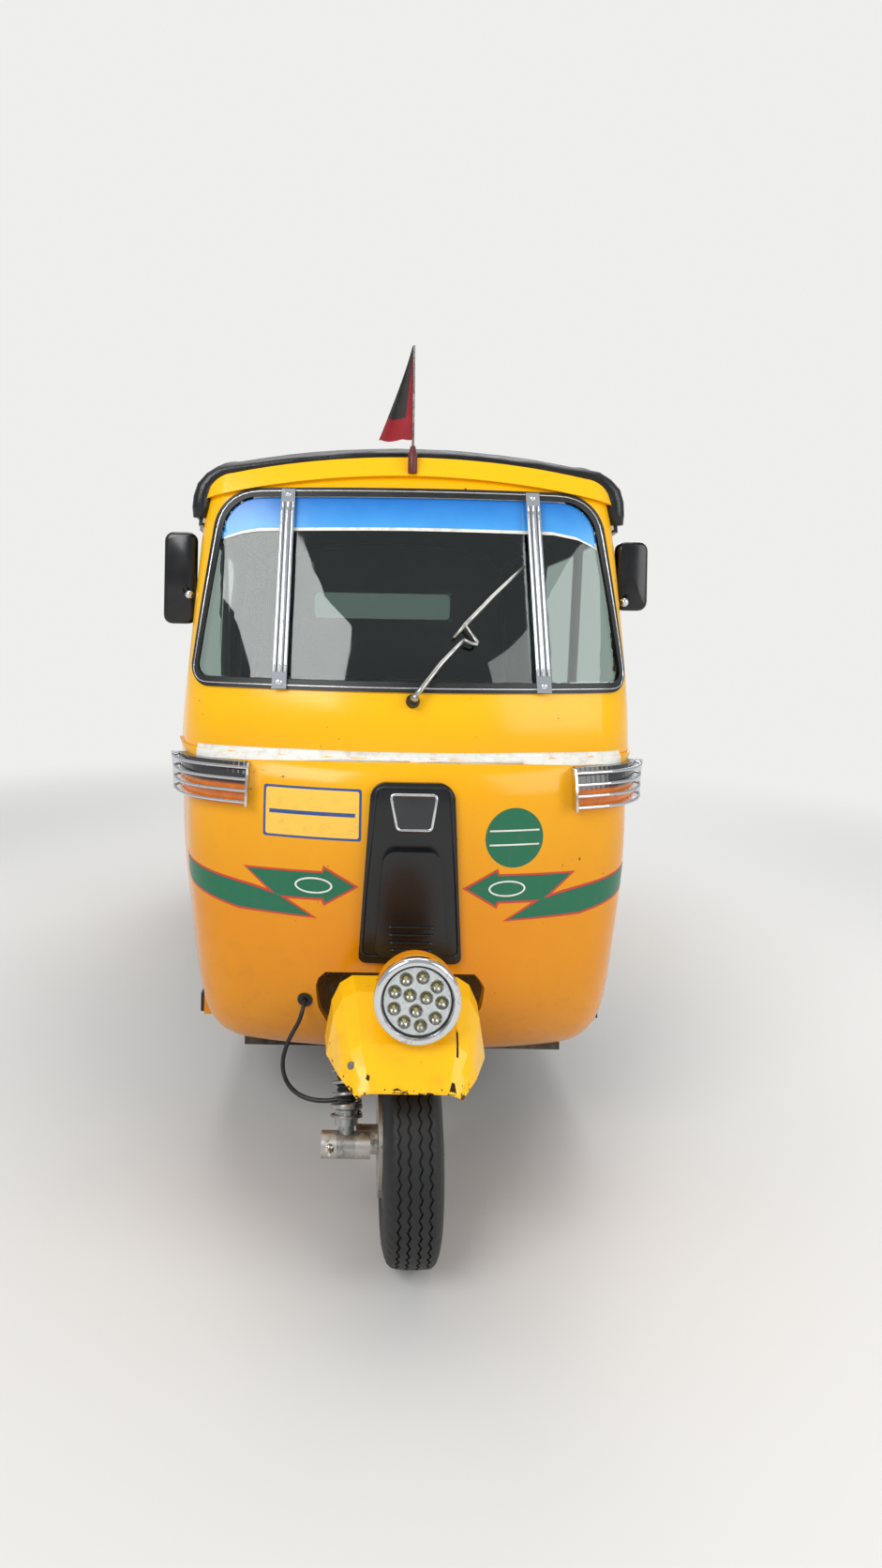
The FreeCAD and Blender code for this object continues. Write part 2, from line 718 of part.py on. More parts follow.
def section_edge_path(cover, height):
    """Path round one front corner at a height, along the face of a cover over the nose."""
    keep = Part.makeBox(size.CowlHalf, size.LampBack + REACH, 10,
                        Vector(size.LampInner - 4, y_at(-REACH), height - 5))
    edges = []
    for wire in cover.slice(Vector(0, 0, 1), height):
        edges += wire.common(keep).Edges
    return Part.Wire(Part.__sortEdges__(edges))


def make_guards():
    """Wire guards over the indicators: bent wires between an inner and an outer plate."""
    wire_radius = size.GuardWire / 2
    count = 4
    low = size.LampLow + 9
    step = (size.LampHigh - size.LampLow - 18) / (count - 1)
    pieces = []
    cover = nose_solid(-size.GuardProud)
    for index in range(count):
        path = section_edge_path(cover, low + index * step)
        start = path.Edges[0].valueAt(path.Edges[0].FirstParameter)
        tangent = path.Edges[0].tangentAt(path.Edges[0].FirstParameter)
        ring = Part.Wire(Part.makeCircle(wire_radius, start, tangent))
        pieces.append(path.makePipeShell([ring], True, False))
    top = low + (count - 1) * step
    inner = Part.makeBox(5, size.LampBack + REACH, top - low + 16,
                         Vector(size.LampInner - 6, y_at(-REACH), low - 8))
    inner = nose_skin(-size.GuardProud - wire_radius, -size.SeatGap).common(inner)
    outer = Part.makeBox(size.CowlHalf, 5, top - low + 16,
                         Vector(size.LampInner, y_at(size.LampBack) - 3, low - 8))
    outer = nose_skin(-size.GuardProud - wire_radius, -size.SeatGap).common(outer)
    guard = inner.multiFuse([outer] + pieces)
    return Part.Compound([guard, mirrored(guard)])


# The front: nose, windscreen and what they carry

part("nose_shell", made("NoseShell", make_nose()))
part("wheel_well", made("WheelWell", make_wheel_well()))
part("windscreen_frame", made("WindscreenFrame", make_frame()))
part("windscreen_seal", made("WindscreenSeal", make_seal()))
part("windscreen_glass", made("WindscreenGlass", make_glass()))
part("roof_visor", made("RoofVisor", make_visor()))
part("nose_panel", made("NosePanel", make_nose_panel()))
part("indicator_lamps", made("IndicatorLamps", make_indicators()))
part("indicator_guards", made("IndicatorGuards", make_guards()))


def frame_front(x, height):
    """Outer face of the windscreen frame at a place seen from the front."""
    probe_line = Part.makeLine(Vector(x, y_at(-REACH), height), Vector(x, y_at(size.DoorFront), height))
    hits = probe_line.common(FRAME_BODY)
    return min(vertex.Y for vertex in hits.Vertexes)


def frame_back(x, height):
    """Back edge of the windscreen frame at a place seen from the front."""
    probe_line = Part.makeLine(Vector(x, y_at(-REACH), height), Vector(x, y_at(size.Wheelbase), height))
    hits = probe_line.common(FRAME_BODY)
    return max(vertex.Y for vertex in hits.Vertexes)


FRAME_BODY = frame_solid(0)


def make_screen_bars():
    """Grooved bars up the windscreen, each held by a clamp over the rubber at both ends."""
    low = size.ScreenBottom + 2
    high = size.ScreenTop - size.ClampHeight - 6
    foot = frame_front(size.BarPlace, low)
    head = frame_front(size.BarPlace, high + size.ClampHeight)
    clear = size.SealProud + 4
    half = size.BarWidth / 2
    top = high + size.ClampHeight
    bar = Part.Face(Part.makePolygon([
        Vector(0, foot, low), Vector(0, foot - clear - size.BarThick, low),
        Vector(0, head - clear - size.BarThick, top),
        Vector(0, head, top), Vector(0, head, high + 8),
        Vector(0, head - clear - 5, high + 2), Vector(0, foot - clear + 5, low + size.ClampHeight),
        Vector(0, foot + 6, low + size.ClampHeight - 6), Vector(0, foot, low)]))
    bar = bar.extrude(Vector(size.BarWidth, 0, 0))
    bar.translate(Vector(size.BarPlace - half, 0, 0))
    bar = bar.cut(frame_solid(-size.SeatGap))
    bar = bar.cut(frame_skin(-size.SealProud - size.SeatGap, size.WallThick).common(screen_prism(0)))
    bar = max(bar.Solids, key=lambda solid: solid.Volume)
    return Part.Compound([bar, mirrored(bar)])


part("screen_bars", made("ScreenBars", make_screen_bars()))


# Wiper: a spindle in the sill under the glass, an arm and a blade
WIPER_FOOT = (2, 1084)
WIPER_TIP = (262, 1372)


def make_wiper():
    foot_x, foot_z = WIPER_FOOT
    tip_x, tip_z = WIPER_TIP
    face = frame_front(foot_x, foot_z - 9)
    tip_y = frame_front(tip_x, tip_z) - 16
    mid_x = (foot_x + tip_x) / 2
    mid_z = (foot_z + tip_z) / 2
    mid_y = frame_front(mid_x, mid_z) - 22
    spindle = Part.makeCylinder(9, 34, Vector(foot_x, face - size.SeatGap, foot_z), Vector(0, -1, 0))
    arm = tube([(foot_x, face - 28, foot_z), (mid_x, mid_y - 6, mid_z), (tip_x, tip_y, tip_z)], 4, 200)
    return spindle.fuse(arm)


part("wiper", made("Wiper", make_wiper()))


# Mirrors: side of the vehicle, inner edge from the middle, bottom, width and height
MIRRORS = [
    (-1, 527, 1236, 80, 230),
    (1, 527, 1288, 77, 173),
]


def make_mirrors():
    """Rounded mirrors on bent stems from the windscreen pillars; the left one is shorter."""
    pair = []
    for side, inner, low, width, height in MIRRORS:
        head = Part.makeBox(width, size.MirrorDepth, height, Vector(inner, y_at(size.MirrorPlace), low))
        head = head.makeFillet(size.MirrorDepth * 0.4, head.Edges)
        stem_z = size.MirrorStem
        start = (size.CowlHalf - 60, y_at(size.DoorFront - 14), stem_z)
        stem = tube([start, (inner + 12, y_at(size.DoorFront - 14), stem_z),
                     (inner + 22, y_at(size.MirrorPlace + 10), stem_z)], 7, 9)
        stem = stem.cut(frame_solid(-size.SeatGap))
        stem = max(stem.Solids, key=lambda solid: solid.CenterOfMass.x)
        mirror = head.fuse(stem)
        pair.append(mirror if side > 0 else mirrored(mirror))
    return Part.Compound(pair)


part("mirrors", made("Mirrors", make_mirrors()))


# Floor, sills and the dashboard shelf


def tub_inside(margin):
    """The rounded space inside the tub, kept off its walls by a margin."""
    half = size.BodyHalf - size.BodyWall - margin
    depth = size.BodyBack - size.BodyFront - 2 * (size.BodyWall + margin)
    front = y_at(size.Wheelbase + size.BodyFront + size.BodyWall + margin)
    block = Part.makeBox(2 * half, depth, 2 * size.BodyHigh, Vector(-half, front, -size.BodyHigh / 2))
    upright_edges = [edge for edge in block.Edges if abs(edge.Vertexes[0].Z - edge.Vertexes[1].Z) > 1]
    return block.makeFillet(size.BodyCorner - size.BodyWall - margin, upright_edges)


floor = box("FloorSheet", ("-FloorHalf", "DoorFront + SeatGap", "FloorTop - FloorDepth"),
            ("FloorHalf", "Wheelbase + BodyFront - SeatGap", "FloorTop"))
ramp = doc.addObject("PartDesign::Body", "FloorRamp")
ramp_sketch = sketch_on(ramp, "YZ_Plane", "FloorRampSection")
polygon(ramp_sketch, [
    (behind("NoseFront + 200"), "NoseBottom - 12"),
    (behind("NoseFront + 200"), "NoseBottom + 6"),
    (behind("DoorFront + 30"), "FloorTop + 12"),
    (behind("DoorFront + 30"), "FloorTop - FloorDepth"),
    (behind("DoorFront"), "FloorTop - FloorDepth"),
])
ramp_pad = ramp.newObject("PartDesign::Pad", "FloorRampPad")
ramp_pad.Profile = ramp_sketch
ramp_pad.Midplane = True
bind(ramp_pad, Length="2 * (FloorHalf - 90)")
doc.recompute()
rear_floor = box("RearFloorSheet", ("-BodyHalf + BodyWall + SeatGap", "Wheelbase + BodyFront", "FloorTop - FloorDepth"),
                 ("BodyHalf - BodyWall - SeatGap", "Wheelbase + BenchFront + 10 - SeatGap", "FloorTop"))
doc.recompute()
step = box("FloorStep", ("-FloorHalf + 10 + SeatGap", "Wheelbase + BodyFront - 20", "FloorTop - FloorDepth"),
           ("FloorHalf - 10 - SeatGap", "Wheelbase + BodyFront + BodyCorner", "FloorTop"))
doc.recompute()
floor_shape = floor.Shape.multiFuse([ramp.Shape, step.Shape, rear_floor.Shape.common(tub_inside(size.SeatGap))])
floor_shape = floor_shape.cut(nose_solid(-size.SeatGap).cut(nose_solid(size.WallThick + size.SeatGap, REACH)))
floor_shape = floor_shape.cut(make_well(WELL_SHEET + size.SeatGap))
part("floor_pan", made("FloorPan", max(floor_shape.Solids, key=lambda solid: solid.Volume)))

sill = box("SillBox", ("FloorHalf + SeatGap", "DoorFront + SeatGap", "SillLow"),
           ("SillHalf", "Wheelbase + BodyFront - SeatGap", "SillHigh"))
part("side_sills", both_sides("SideSills", sill))
strip = box("SillStrip", ("SillHalf + SeatGap", "DoorFront + 6", "SillHigh - 48"),
            ("SillHalf + SeatGap + StripThick", "Wheelbase + BodyFront - 20", "SillHigh - 4"))
part("sill_rubbers", both_sides("SillRubbers", strip))


def make_shelf():
    """Dashboard shelf across the inside of the nose, below the handlebar."""
    low = size.BeltHeight - 78
    slab = Part.makeBox(4 * size.CowlHalf, 250 - 60, 16, Vector(-2 * size.CowlHalf, y_at(60), low))
    slab = slab.common(nose_solid(size.WallThick + size.SeatGap, REACH))
    passage = Part.makeCylinder(size.ColumnRadius + 8, 3 * size.ColumnHigh, steering_axis(0), AXIS_DIRECTION)
    return slab.cut(passage)


part("dash_shelf", made("DashShelf", make_shelf()))


# Wheels

TYRE_CORNERS = [
    ("-RimHalf + 5.3", "RimRadius + SeatGap"),
    ("-RimHalf - 0.8", "RimRadius + 12 + SeatGap"),
    ("-TyreHalf + 3", "RimRadius + 12 + SeatGap"),
    ("-TyreHalf", "RimRadius + 48"),
    ("-TyreHalf + 3", "TyreRadius - 22"),
    ("-TyreHalf + 14", "TyreRadius - 5"),
    ("-TyreHalf + 34", "TyreRadius"),
    ("TyreHalf - 34", "TyreRadius"),
    ("TyreHalf - 14", "TyreRadius - 5"),
    ("TyreHalf - 3", "TyreRadius - 22"),
    ("TyreHalf", "RimRadius + 48"),
    ("TyreHalf - 3", "RimRadius + 12 + SeatGap"),
    ("RimHalf + 0.8", "RimRadius + 12 + SeatGap"),
    ("RimHalf - 5.3", "RimRadius + SeatGap"),
]
# The rim: outer flange, barrel, dished disc and hub; its outer face points along +X
RIM_CORNERS = [
    ("-RimHalf - 6", "RimRadius + 12"),
    ("-RimHalf - 1", "RimRadius + 12"),
    ("-RimHalf + 5", "RimRadius"),
    ("RimHalf - 5", "RimRadius"),
    ("RimHalf + 1", "RimRadius + 12"),
    ("RimHalf + 6", "RimRadius + 12"),
    ("RimHalf", "RimRadius - 7"),
    ("22", "RimRadius - 7"),
    ("14", "RimRadius - 30"),
    ("22", "HubRadius"),
    ("RimHalf - 10", "HubRadius"),
    ("RimHalf - 10", "AxleRadius + RunningGap"),
    ("-RimHalf - 8", "AxleRadius + RunningGap"),
    ("-RimHalf - 8", "DrumRadius"),
    ("6", "DrumRadius"),
    ("6", "RimRadius - 7"),
    ("-RimHalf", "RimRadius - 7"),
]

WHEELS = [
    # name, across, behind the front axle, side that the outer face points to
    ("front", "0", "0", 1),
    ("rear_left", "Track / 2", "Wheelbase", 1),
    ("rear_right", "-Track / 2", "Wheelbase", -1),
]
for name, across, back, side in WHEELS:
    title = name.title().replace("_", "")
    tyre = turned(name + "_tyre", title + "Tyre", TYRE_CORNERS, across, back, "TyreRadius")
    rim = turned(name + "_rim", title + "Rim", RIM_CORNERS, across, back, "TyreRadius")
    if side < 0:
        for body in (tyre, rim):
            body.Placement = FreeCAD.Placement(Vector(0, 0, 0), FreeCAD.Rotation(Vector(0, 0, 1), 180))


# Steering: column, leg, link and front brake

def leg_point(height):
    """Point of the suspension leg's axis at a height."""
    foot = Vector(size.LegPlace, y_at(size.PivotPlace), size.PivotHeight)
    return foot + AXIS_DIRECTION * ((height - size.PivotHeight) / AXIS_DIRECTION.z)


# Mudguard: folded sheet over the front wheel.  Each row is
# (behind the front axle, then half width and height of crest, shoulder, side and edge)
GUARD_ROWS = [
    (-215, 68, 425, 78, 423, 87, 420, 95, 415),
    (-172, 87, 486, 106, 470, 117, 450, 124, 426),
    (-100, 95, 546, 121, 532, 138, 500, 150, 427),
    (-35, 103, 549, 127, 534, 143, 500, 155, 428),
    (25, 100, 520, 124, 506, 140, 482, 152, 434),
]


def guard_section(row, sheet_inset):
    """One open section of the mudguard, right to left, moved inwards by an inset."""
    distance = row[0]
    pairs = list(zip(row[1::2], row[2::2]))
    right = [Vector(half, 0, height) for half, height in pairs]
    line = [Vector(-p.x, 0, p.z) for p in reversed(right)] + right
    points = []
    for index, point in enumerate(line):
        before = line[max(index - 1, 0)]
        after = line[min(index + 1, len(line) - 1)]
        along = after - before
        along.normalize()
        inward = Vector(along.z, 0, -along.x)
        moved = point + inward * sheet_inset
        points.append(Vector(moved.x + size.GuardOffset, y_at(distance), moved.z))
    return points


def make_mudguard(outer, inner):
    sections = []
    for row in GUARD_ROWS:
        top = guard_section(row, outer)
        bottom = guard_section(row, inner)
        sections.append(Part.makePolygon(top + bottom[::-1] + [top[0]]))
    return Part.makeLoft(sections, True, True)


def make_column():
    """Column tube, crown and suspension leg; the leg ends in the middle of the pivot tube."""
    low = steering_axis(size.ColumnLow)
    high = steering_axis(size.ColumnHigh)
    column = Part.makeCylinder(size.ColumnRadius, (high - low).Length, low, AXIS_DIRECTION)
    collar = Part.makeCylinder(size.ColumnRadius + 9, 22, low, AXIS_DIRECTION)
    foot = Vector(size.LegPlace, y_at(size.PivotPlace), size.PivotHeight)
    rise = size.ColumnLow + 4 - size.PivotHeight
    top = foot + AXIS_DIRECTION * (rise / AXIS_DIRECTION.z)
    leg = Part.makeCylinder(size.LegRadius, (top - foot).Length, foot, AXIS_DIRECTION)
    crown = tube([tuple(top - AXIS_DIRECTION * 10), tuple(low + AXIS_DIRECTION * 12)], 17)
    cup = Part.makeCylinder(size.SpringRadius, 6, top - AXIS_DIRECTION * 26, AXIS_DIRECTION)
    socket = Part.makeCylinder(size.PivotRadius, 34, foot - Vector(17, 0, 0), Vector(1, 0, 0))
    sleeve = Part.makeCylinder(size.LegRadius + 7, 26, leg_point(size.PivotHeight + 30), AXIS_DIRECTION)
    seat_low = leg_point(size.PivotHeight + 62) - AXIS_DIRECTION * (6 + size.SeatGap)
    seat = Part.makeCylinder(size.SpringRadius, 6, seat_low, AXIS_DIRECTION)
    # Two stays up to the inside of the mudguard
    stays = []
    for x in (-70, 20):
        stay = Part.makeBox(34, 8, 200, Vector(x, y_at(8), size.ColumnLow - 6))
        beam = Part.makeBox(34, low.y - y_at(8) + 6, 10, Vector(x, y_at(8), size.ColumnLow - 6))
        stay = stay.cut(make_mudguard(-REACH, size.GuardSheet + size.SeatGap))
        stays += [min(stay.Solids, key=lambda piece: piece.BoundBox.ZMin), beam]
    return column.multiFuse([collar, leg, crown, cup, socket, sleeve, seat] + stays)


part("steering_column", made("SteeringColumn", make_column()))


def coil(start, end, radius, wire, turns):
    """A coil spring between two points, as a closed sleeve with one ring for each turn."""
    length = (end - start).Length
    step = length / (2 * turns)
    outline = [Vector(radius - wire, 0, 0)]
    for index in range(turns):
        outline += [Vector(radius - wire / 2, 0, 2 * index * step), Vector(radius, 0, (2 * index + 0.5) * step),
                    Vector(radius - wire / 2, 0, (2 * index + 1) * step)]
    outline += [Vector(radius - wire / 2, 0, length), Vector(radius - wire, 0, length)]
    spring = Part.Face(Part.makePolygon(outline + [outline[0]])).revolve(Vector(0, 0, 0), Vector(0, 0, 1), 360)
    spring.Placement = FreeCAD.Placement(start, FreeCAD.Rotation(Vector(0, 0, 1), end - start))
    return spring


def make_front_spring():
    low = leg_point(size.PivotHeight + 62)
    high = leg_point(size.ColumnLow + 4) - AXIS_DIRECTION * (26 + size.SeatGap)
    return coil(low, high, size.SpringRadius, size.SpringWire, 8)


part("front_spring", made("FrontSpring", make_front_spring()))


def make_link():
    """Trailing link: tube ends on the pivot, an arm back to the axle, and the stub axle."""
    pivot = Vector(0, y_at(size.PivotPlace), size.PivotHeight)
    axle = Vector(0, y_at(0), size.TyreRadius)
    middle_low = size.LegPlace - 17 - size.SeatGap
    middle_high = size.LegPlace + 17 + size.SeatGap
    outer = Part.makeCylinder(size.PivotRadius, 30, pivot + Vector(middle_low - 30, 0, 0), Vector(1, 0, 0))
    inner = Part.makeCylinder(size.PivotRadius, 30, pivot + Vector(middle_high, 0, 0), Vector(1, 0, 0))
    plate_x = middle_high + 8
    arm = tube([tuple(pivot + Vector(plate_x + 9, 0, 0)), tuple(axle + Vector(plate_x + 9, 0, 0))], 13)
    boss_start = axle + Vector(plate_x - 6, 0, 0)
    boss = Part.makeCylinder(26, -size.RimHalf - 8 - size.RunningGap - size.PlateThick - boss_start.x, boss_start,
                             Vector(1, 0, 0))
    plate = Part.makeCylinder(size.PlateRadius, size.PlateThick,
                              axle + Vector(-size.RimHalf - 8 - size.RunningGap - size.PlateThick, 0, 0),
                              Vector(1, 0, 0))
    stub = Part.makeCylinder(size.AxleRadius, size.RimHalf + 30 - boss_start.x - 30, boss_start, Vector(1, 0, 0))
    shape = inner.multiFuse([arm, boss, plate, stub])
    return Part.Compound([outer, shape])


part("front_link", made("FrontLink", make_link()))


part("front_mudguard", made("FrontMudguard", make_mudguard(0, size.GuardSheet)))


def headlamp_profile(corners):
    centre = Vector(-2, y_at(size.HeadlampFront), size.HeadlampHeight)
    wire = Part.makePolygon([centre + Vector(radius, back, 0) for radius, back in corners + [corners[0]]])
    return Part.Face(wire).revolve(centre, Vector(0, 1, 0), 360)


def make_headlamp_bowl():
    radius = size.HeadlampRadius
    deep = size.HeadlampDepth
    bowl = headlamp_profile([(0, 16), (radius - 5, 16), (radius - 2, 22), (radius - 4, 48), (radius - 14, 76),
                             (radius - 34, deep - 14), (0, deep)])
    neck = Part.makeBox(52, 90, 110, Vector(-28, y_at(size.HeadlampFront + 34), size.HeadlampHeight - 100))
    solid = bowl.fuse(neck)
    solid = solid.cut(make_mudguard(-size.SeatGap, 150))
    return max(solid.Solids, key=lambda piece: piece.Volume)


part("headlamp_bowl", made("HeadlampBowl", make_headlamp_bowl()))


def make_headlamp_rim():
    radius = size.HeadlampRadius
    return headlamp_profile([(0, 7), (radius - 16, 7), (radius - 13, 0), (radius - 4, 0), (radius, 6),
                             (radius, 14), (radius - 3, 15.7), (0, 15.7)])


part("headlamp", made("Headlamp", make_headlamp_rim()))


def make_handlebar():
    """Handlebar tube, pulled back to the grips, on the top of the column."""
    top = steering_axis(size.ColumnHigh)
    y = top.y + 14
    z = size.HandleHeight
    pull = size.BarPull
    right = [(0, y, z), (100, y, z + 6), (size.BarGrip - 105, y + pull * 0.72, z + 14),
             (size.BarGrip, y + pull, z + 14)]
    left = [(-x, b, c) for x, b, c in reversed(right[1:])]
    bar = tube(left + right[1:], size.BarRadius, 42)
    clamp = Part.makeCylinder(size.ColumnRadius + 8, 35, top + AXIS_DIRECTION * size.SeatGap, AXIS_DIRECTION)
    return bar.fuse(clamp)


part("handlebar", made("Handlebar", make_handlebar()))


def make_grips():
    top = steering_axis(size.ColumnHigh)
    y = top.y + 14
    z = size.HandleHeight + 14
    along = Vector(105, size.BarPull * 0.28, 0)
    along.normalize()
    end = Vector(size.BarGrip, y + size.BarPull, z)
    outer = Part.makeCylinder(17, 96, end - along * 92, along)
    bore = Part.makeCylinder(size.BarRadius + size.SeatGap, 93, end - along * 93 + along * 0.3, along)
    grip = outer.cut(bore)
    return Part.Compound([grip, mirrored(grip)])


part("handle_grips", made("HandleGrips", make_grips()))


def make_nacelle():
    """Instrument housing above the handlebar clamp."""
    top = steering_axis(size.ColumnHigh)
    shell = Part.makeBox(150, 92, 58, Vector(-75, top.y - 44, size.HandleHeight + size.BarRadius + 7))
    return shell.makeFillet(16, shell.Edges)


part("instrument_nacelle", made("InstrumentNacelle", make_nacelle()))


def make_head():
    """Steering head tube on two struts from the floor."""
    low = steering_axis(size.HeadTubeLow)
    high = steering_axis(size.HeadTubeHigh)
    tube_outer = Part.makeCylinder(size.HeadTubeRadius, (high - low).Length, low, AXIS_DIRECTION)
    bore = Part.makeCylinder(size.ColumnRadius + size.RunningGap, 2 * size.ColumnHigh, steering_axis(0), AXIS_DIRECTION)
    mid = steering_axis(size.HeadTubeLow + 110)
    struts = []
    for side in (-1, 1):
        foot = (side * 190, y_at(size.DoorFront + 120), size.FloorTop + size.SeatGap)
        upper = (side * 12, mid.y + 8, mid.z)
        struts.append(tube([foot, upper], 14))
    struts = [strut.cut(Part.makeBox(4000, 4000, 400, Vector(-2000, -2000, size.FloorTop + size.SeatGap - 400)))
              for strut in struts]
    return tube_outer.multiFuse(struts).cut(bore)


part("steering_head", made("SteeringHead", make_head()))


def make_grommet():
    """Rubber grommet that the brake cable leaves the nose through."""
    start = grommet_centre(0)
    ring = Part.makeCylinder(GROMMET_RADIUS + 5, REACH, start, Vector(0, 1, 0))
    ring = ring.common(nose_skin(-3, -size.SeatGap))
    plug = Part.makeCylinder(GROMMET_RADIUS - size.SeatGap, 2 * REACH, start, Vector(0, 1, 0))
    plug = plug.common(nose_skin(-3, size.WallThick))
    bore = Part.makeCylinder(size.CableRadius + 3 * size.SeatGap, 3 * REACH, grommet_centre(-REACH), Vector(0, 1, 0))
    return ring.fuse(plug).cut(bore)


part("cable_grommet", made("CableGrommet", make_grommet()))

cable_points = [(x, y_at(distance), z) for x, distance, z in CABLE_ROUTE]
part("brake_cable", made("BrakeCable", tube(cable_points, size.CableRadius)))

# Hood

part("hood", made("Hood", make_hood()))
part("rear_window", made("RearWindow", window_block(0, -6, -3)))


# Hood frame: bowed hoops under the hood, a rail along each side, door pillars and the seat partition

# Radius of the round joints between hoops, rails and legs
KNUCKLE = 13.5
RAIL_ROWS = [1, 2, 3, 4, 5]
HOOP_ROWS = [1, 2, 4, 5]
# The hood falls steeply in front of the first hoop, which lies lower under it
HOOP_LOWER = {1: 9}
LEGGED_HOOPS = [4, 5]


def hoop_section(index):
    """Middle line of a hoop that lies against the inside of the hood."""
    inset = size.HoodThick + KNUCKLE + 3 * size.SeatGap + HOOP_LOWER.get(index, 0)
    return hood_section(HOOD_ROWS[index], inset, 0)


def rail_points():
    """Where the side rail meets each hoop, on the +X side."""
    points = []
    for index in RAIL_ROWS:
        arc = hoop_section(index).Edges[3]
        points.append(max(arc.Vertexes, key=lambda vertex: vertex.X).Point)
    return points


def rail_at(distance):
    """Middle of the side rail at a place behind the front axle."""
    points = rail_points()
    y = y_at(distance)
    for near, far in zip(points, points[1:]):
        if y <= far.y:
            return near + (far - near) * ((y - near.y) / (far.y - near.y))
    return points[-1]


def make_hood_frame():
    """Bowed hoops joined by side rails; the rear hoops stand on the rear body."""
    pieces = []
    for index in HOOP_ROWS:
        corner, crown = hoop_section(index).Edges[1:3]
        half = corner.discretize(3)[:2] + crown.discretize(5)[:2]
        middle = crown.discretize(3)[1]
        points = half + [middle] + [Vector(-point.x, point.y, point.z) for point in reversed(half)]
        pieces.append(tube([tuple(point) for point in points], size.HoopRadius))
        pieces += [Part.makeSphere(KNUCKLE, points[0]), Part.makeSphere(KNUCKLE, points[-1])]
    points = rail_points()
    back_edge = frame_back(points[0].x - size.HoopRadius / 2, points[0].z) + size.SeatGap
    front = Vector(points[0].x, back_edge, points[0].z)
    rail = tube([tuple(point) for point in [front] + points[1:]], size.HoopRadius, 400)
    pieces += [rail, mirrored(rail)]
    for index in LEGGED_HOOPS:
        top = points[RAIL_ROWS.index(index)]
        foot = Vector(size.BodyHalf - size.BodyWall / 2 - 4, top.y, size.BodyHigh + size.SeatGap)
        leg = tube([tuple(foot - Vector(0, 0, REACH)), tuple(top)], size.HoopRadius)
        leg = leg.cut(Part.makeBox(4 * size.BodyHalf, 4 * size.BodyHalf, size.BodyHigh,
                                   Vector(-2 * size.BodyHalf, top.y - 2 * size.BodyHalf, size.SeatGap)))
        pieces += [leg, mirrored(leg)]
    frame = pieces[0].multiFuse(pieces[1:])
    return max(frame.Solids, key=lambda solid: solid.Volume)


part("hood_frame", made("HoodFrame", make_hood_frame()))


def make_pillars():
    """Door pillars from the sills to the rails, and the tubular partition behind the driver."""
    pieces = []
    waist_z = size.BeltHeight - 40
    lower_z = waist_z - 290
    bar_y = y_at(size.SeatPlace + size.SeatDepth + 28)
    post_x = size.FloorHalf - 34
    for side in (-1, 1):
        rail = rail_at(size.PillarPlace)
        foot = Vector(side * (size.SillHalf - 14), y_at(size.PillarPlace), size.SillHigh + 4 * size.SeatGap)
        top = Vector(side * (rail.x - 5), rail.y, rail.z - size.HoopRadius - 2 * size.SeatGap)
        pieces.append(tube([tuple(foot), tuple(top)], PILLAR_RADIUS))
        share = (waist_z - foot.z) / (top.z - foot.z)
        waist = foot + (top - foot) * share
        post_top = (side * post_x, bar_y, waist_z)
        pieces.append(tube([tuple(waist), post_top], BAR_RADIUS))
        pieces.append(tube([(side * post_x, bar_y, size.FloorTop + size.SeatGap), post_top], PILLAR_RADIUS))
    for height in (waist_z, lower_z):
        pieces.append(tube([(-post_x, bar_y, height), (post_x, bar_y, height)], BAR_RADIUS))
    for x in (-PARTITION_STEP, PARTITION_STEP):
        pieces.append(tube([(x, bar_y, lower_z), (x, bar_y, waist_z)], BAR_RADIUS - 2))
    return pieces[0].multiFuse(pieces[1:])


PILLAR_RADIUS = 13.0
BAR_RADIUS = 11.0
PARTITION_STEP = 180.0
part("door_pillars", made("DoorPillars", make_pillars()))

# Seats

seat_base = box("SeatBaseBlock", ("-SeatHalf + 14", "SeatPlace + 16", "FloorTop + SeatGap"),
                ("SeatHalf - 14", "SeatPlace + SeatDepth - 6", "SeatHigh - CushionThick - SeatGap"))
part("driver_seat_base", seat_base)


def cushion(node, name, low, high, corner):
    """A seat cushion: a padded block with rounded edges."""
    body = doc.addObject("PartDesign::Body", name)
    sketch = sketch_on(body, "XY_Plane", name + "Plan")
    polygon(sketch, [(low[0], "0"), (high[0], "0"), (high[0], f"({high[1]}) - ({low[1]})"),
                     (low[0], f"({high[1]}) - ({low[1]})")])
    pad = body.newObject("PartDesign::Pad", name + "Pad")
    pad.Profile = sketch
    bind(pad, Length=f"({high[2]}) - ({low[2]})")
    doc.recompute()
    fillet = body.newObject("PartDesign::Fillet", name + "Edges")
    fillet.Base = (pad, [f"Edge{index + 1}" for index in range(len(pad.Shape.Edges))])
    fillet.Radius = corner
    body.Tip = fillet
    bind(body, Placement_Base_y=behind(low[1]), Placement_Base_z=low[2])
    return part(node, body)


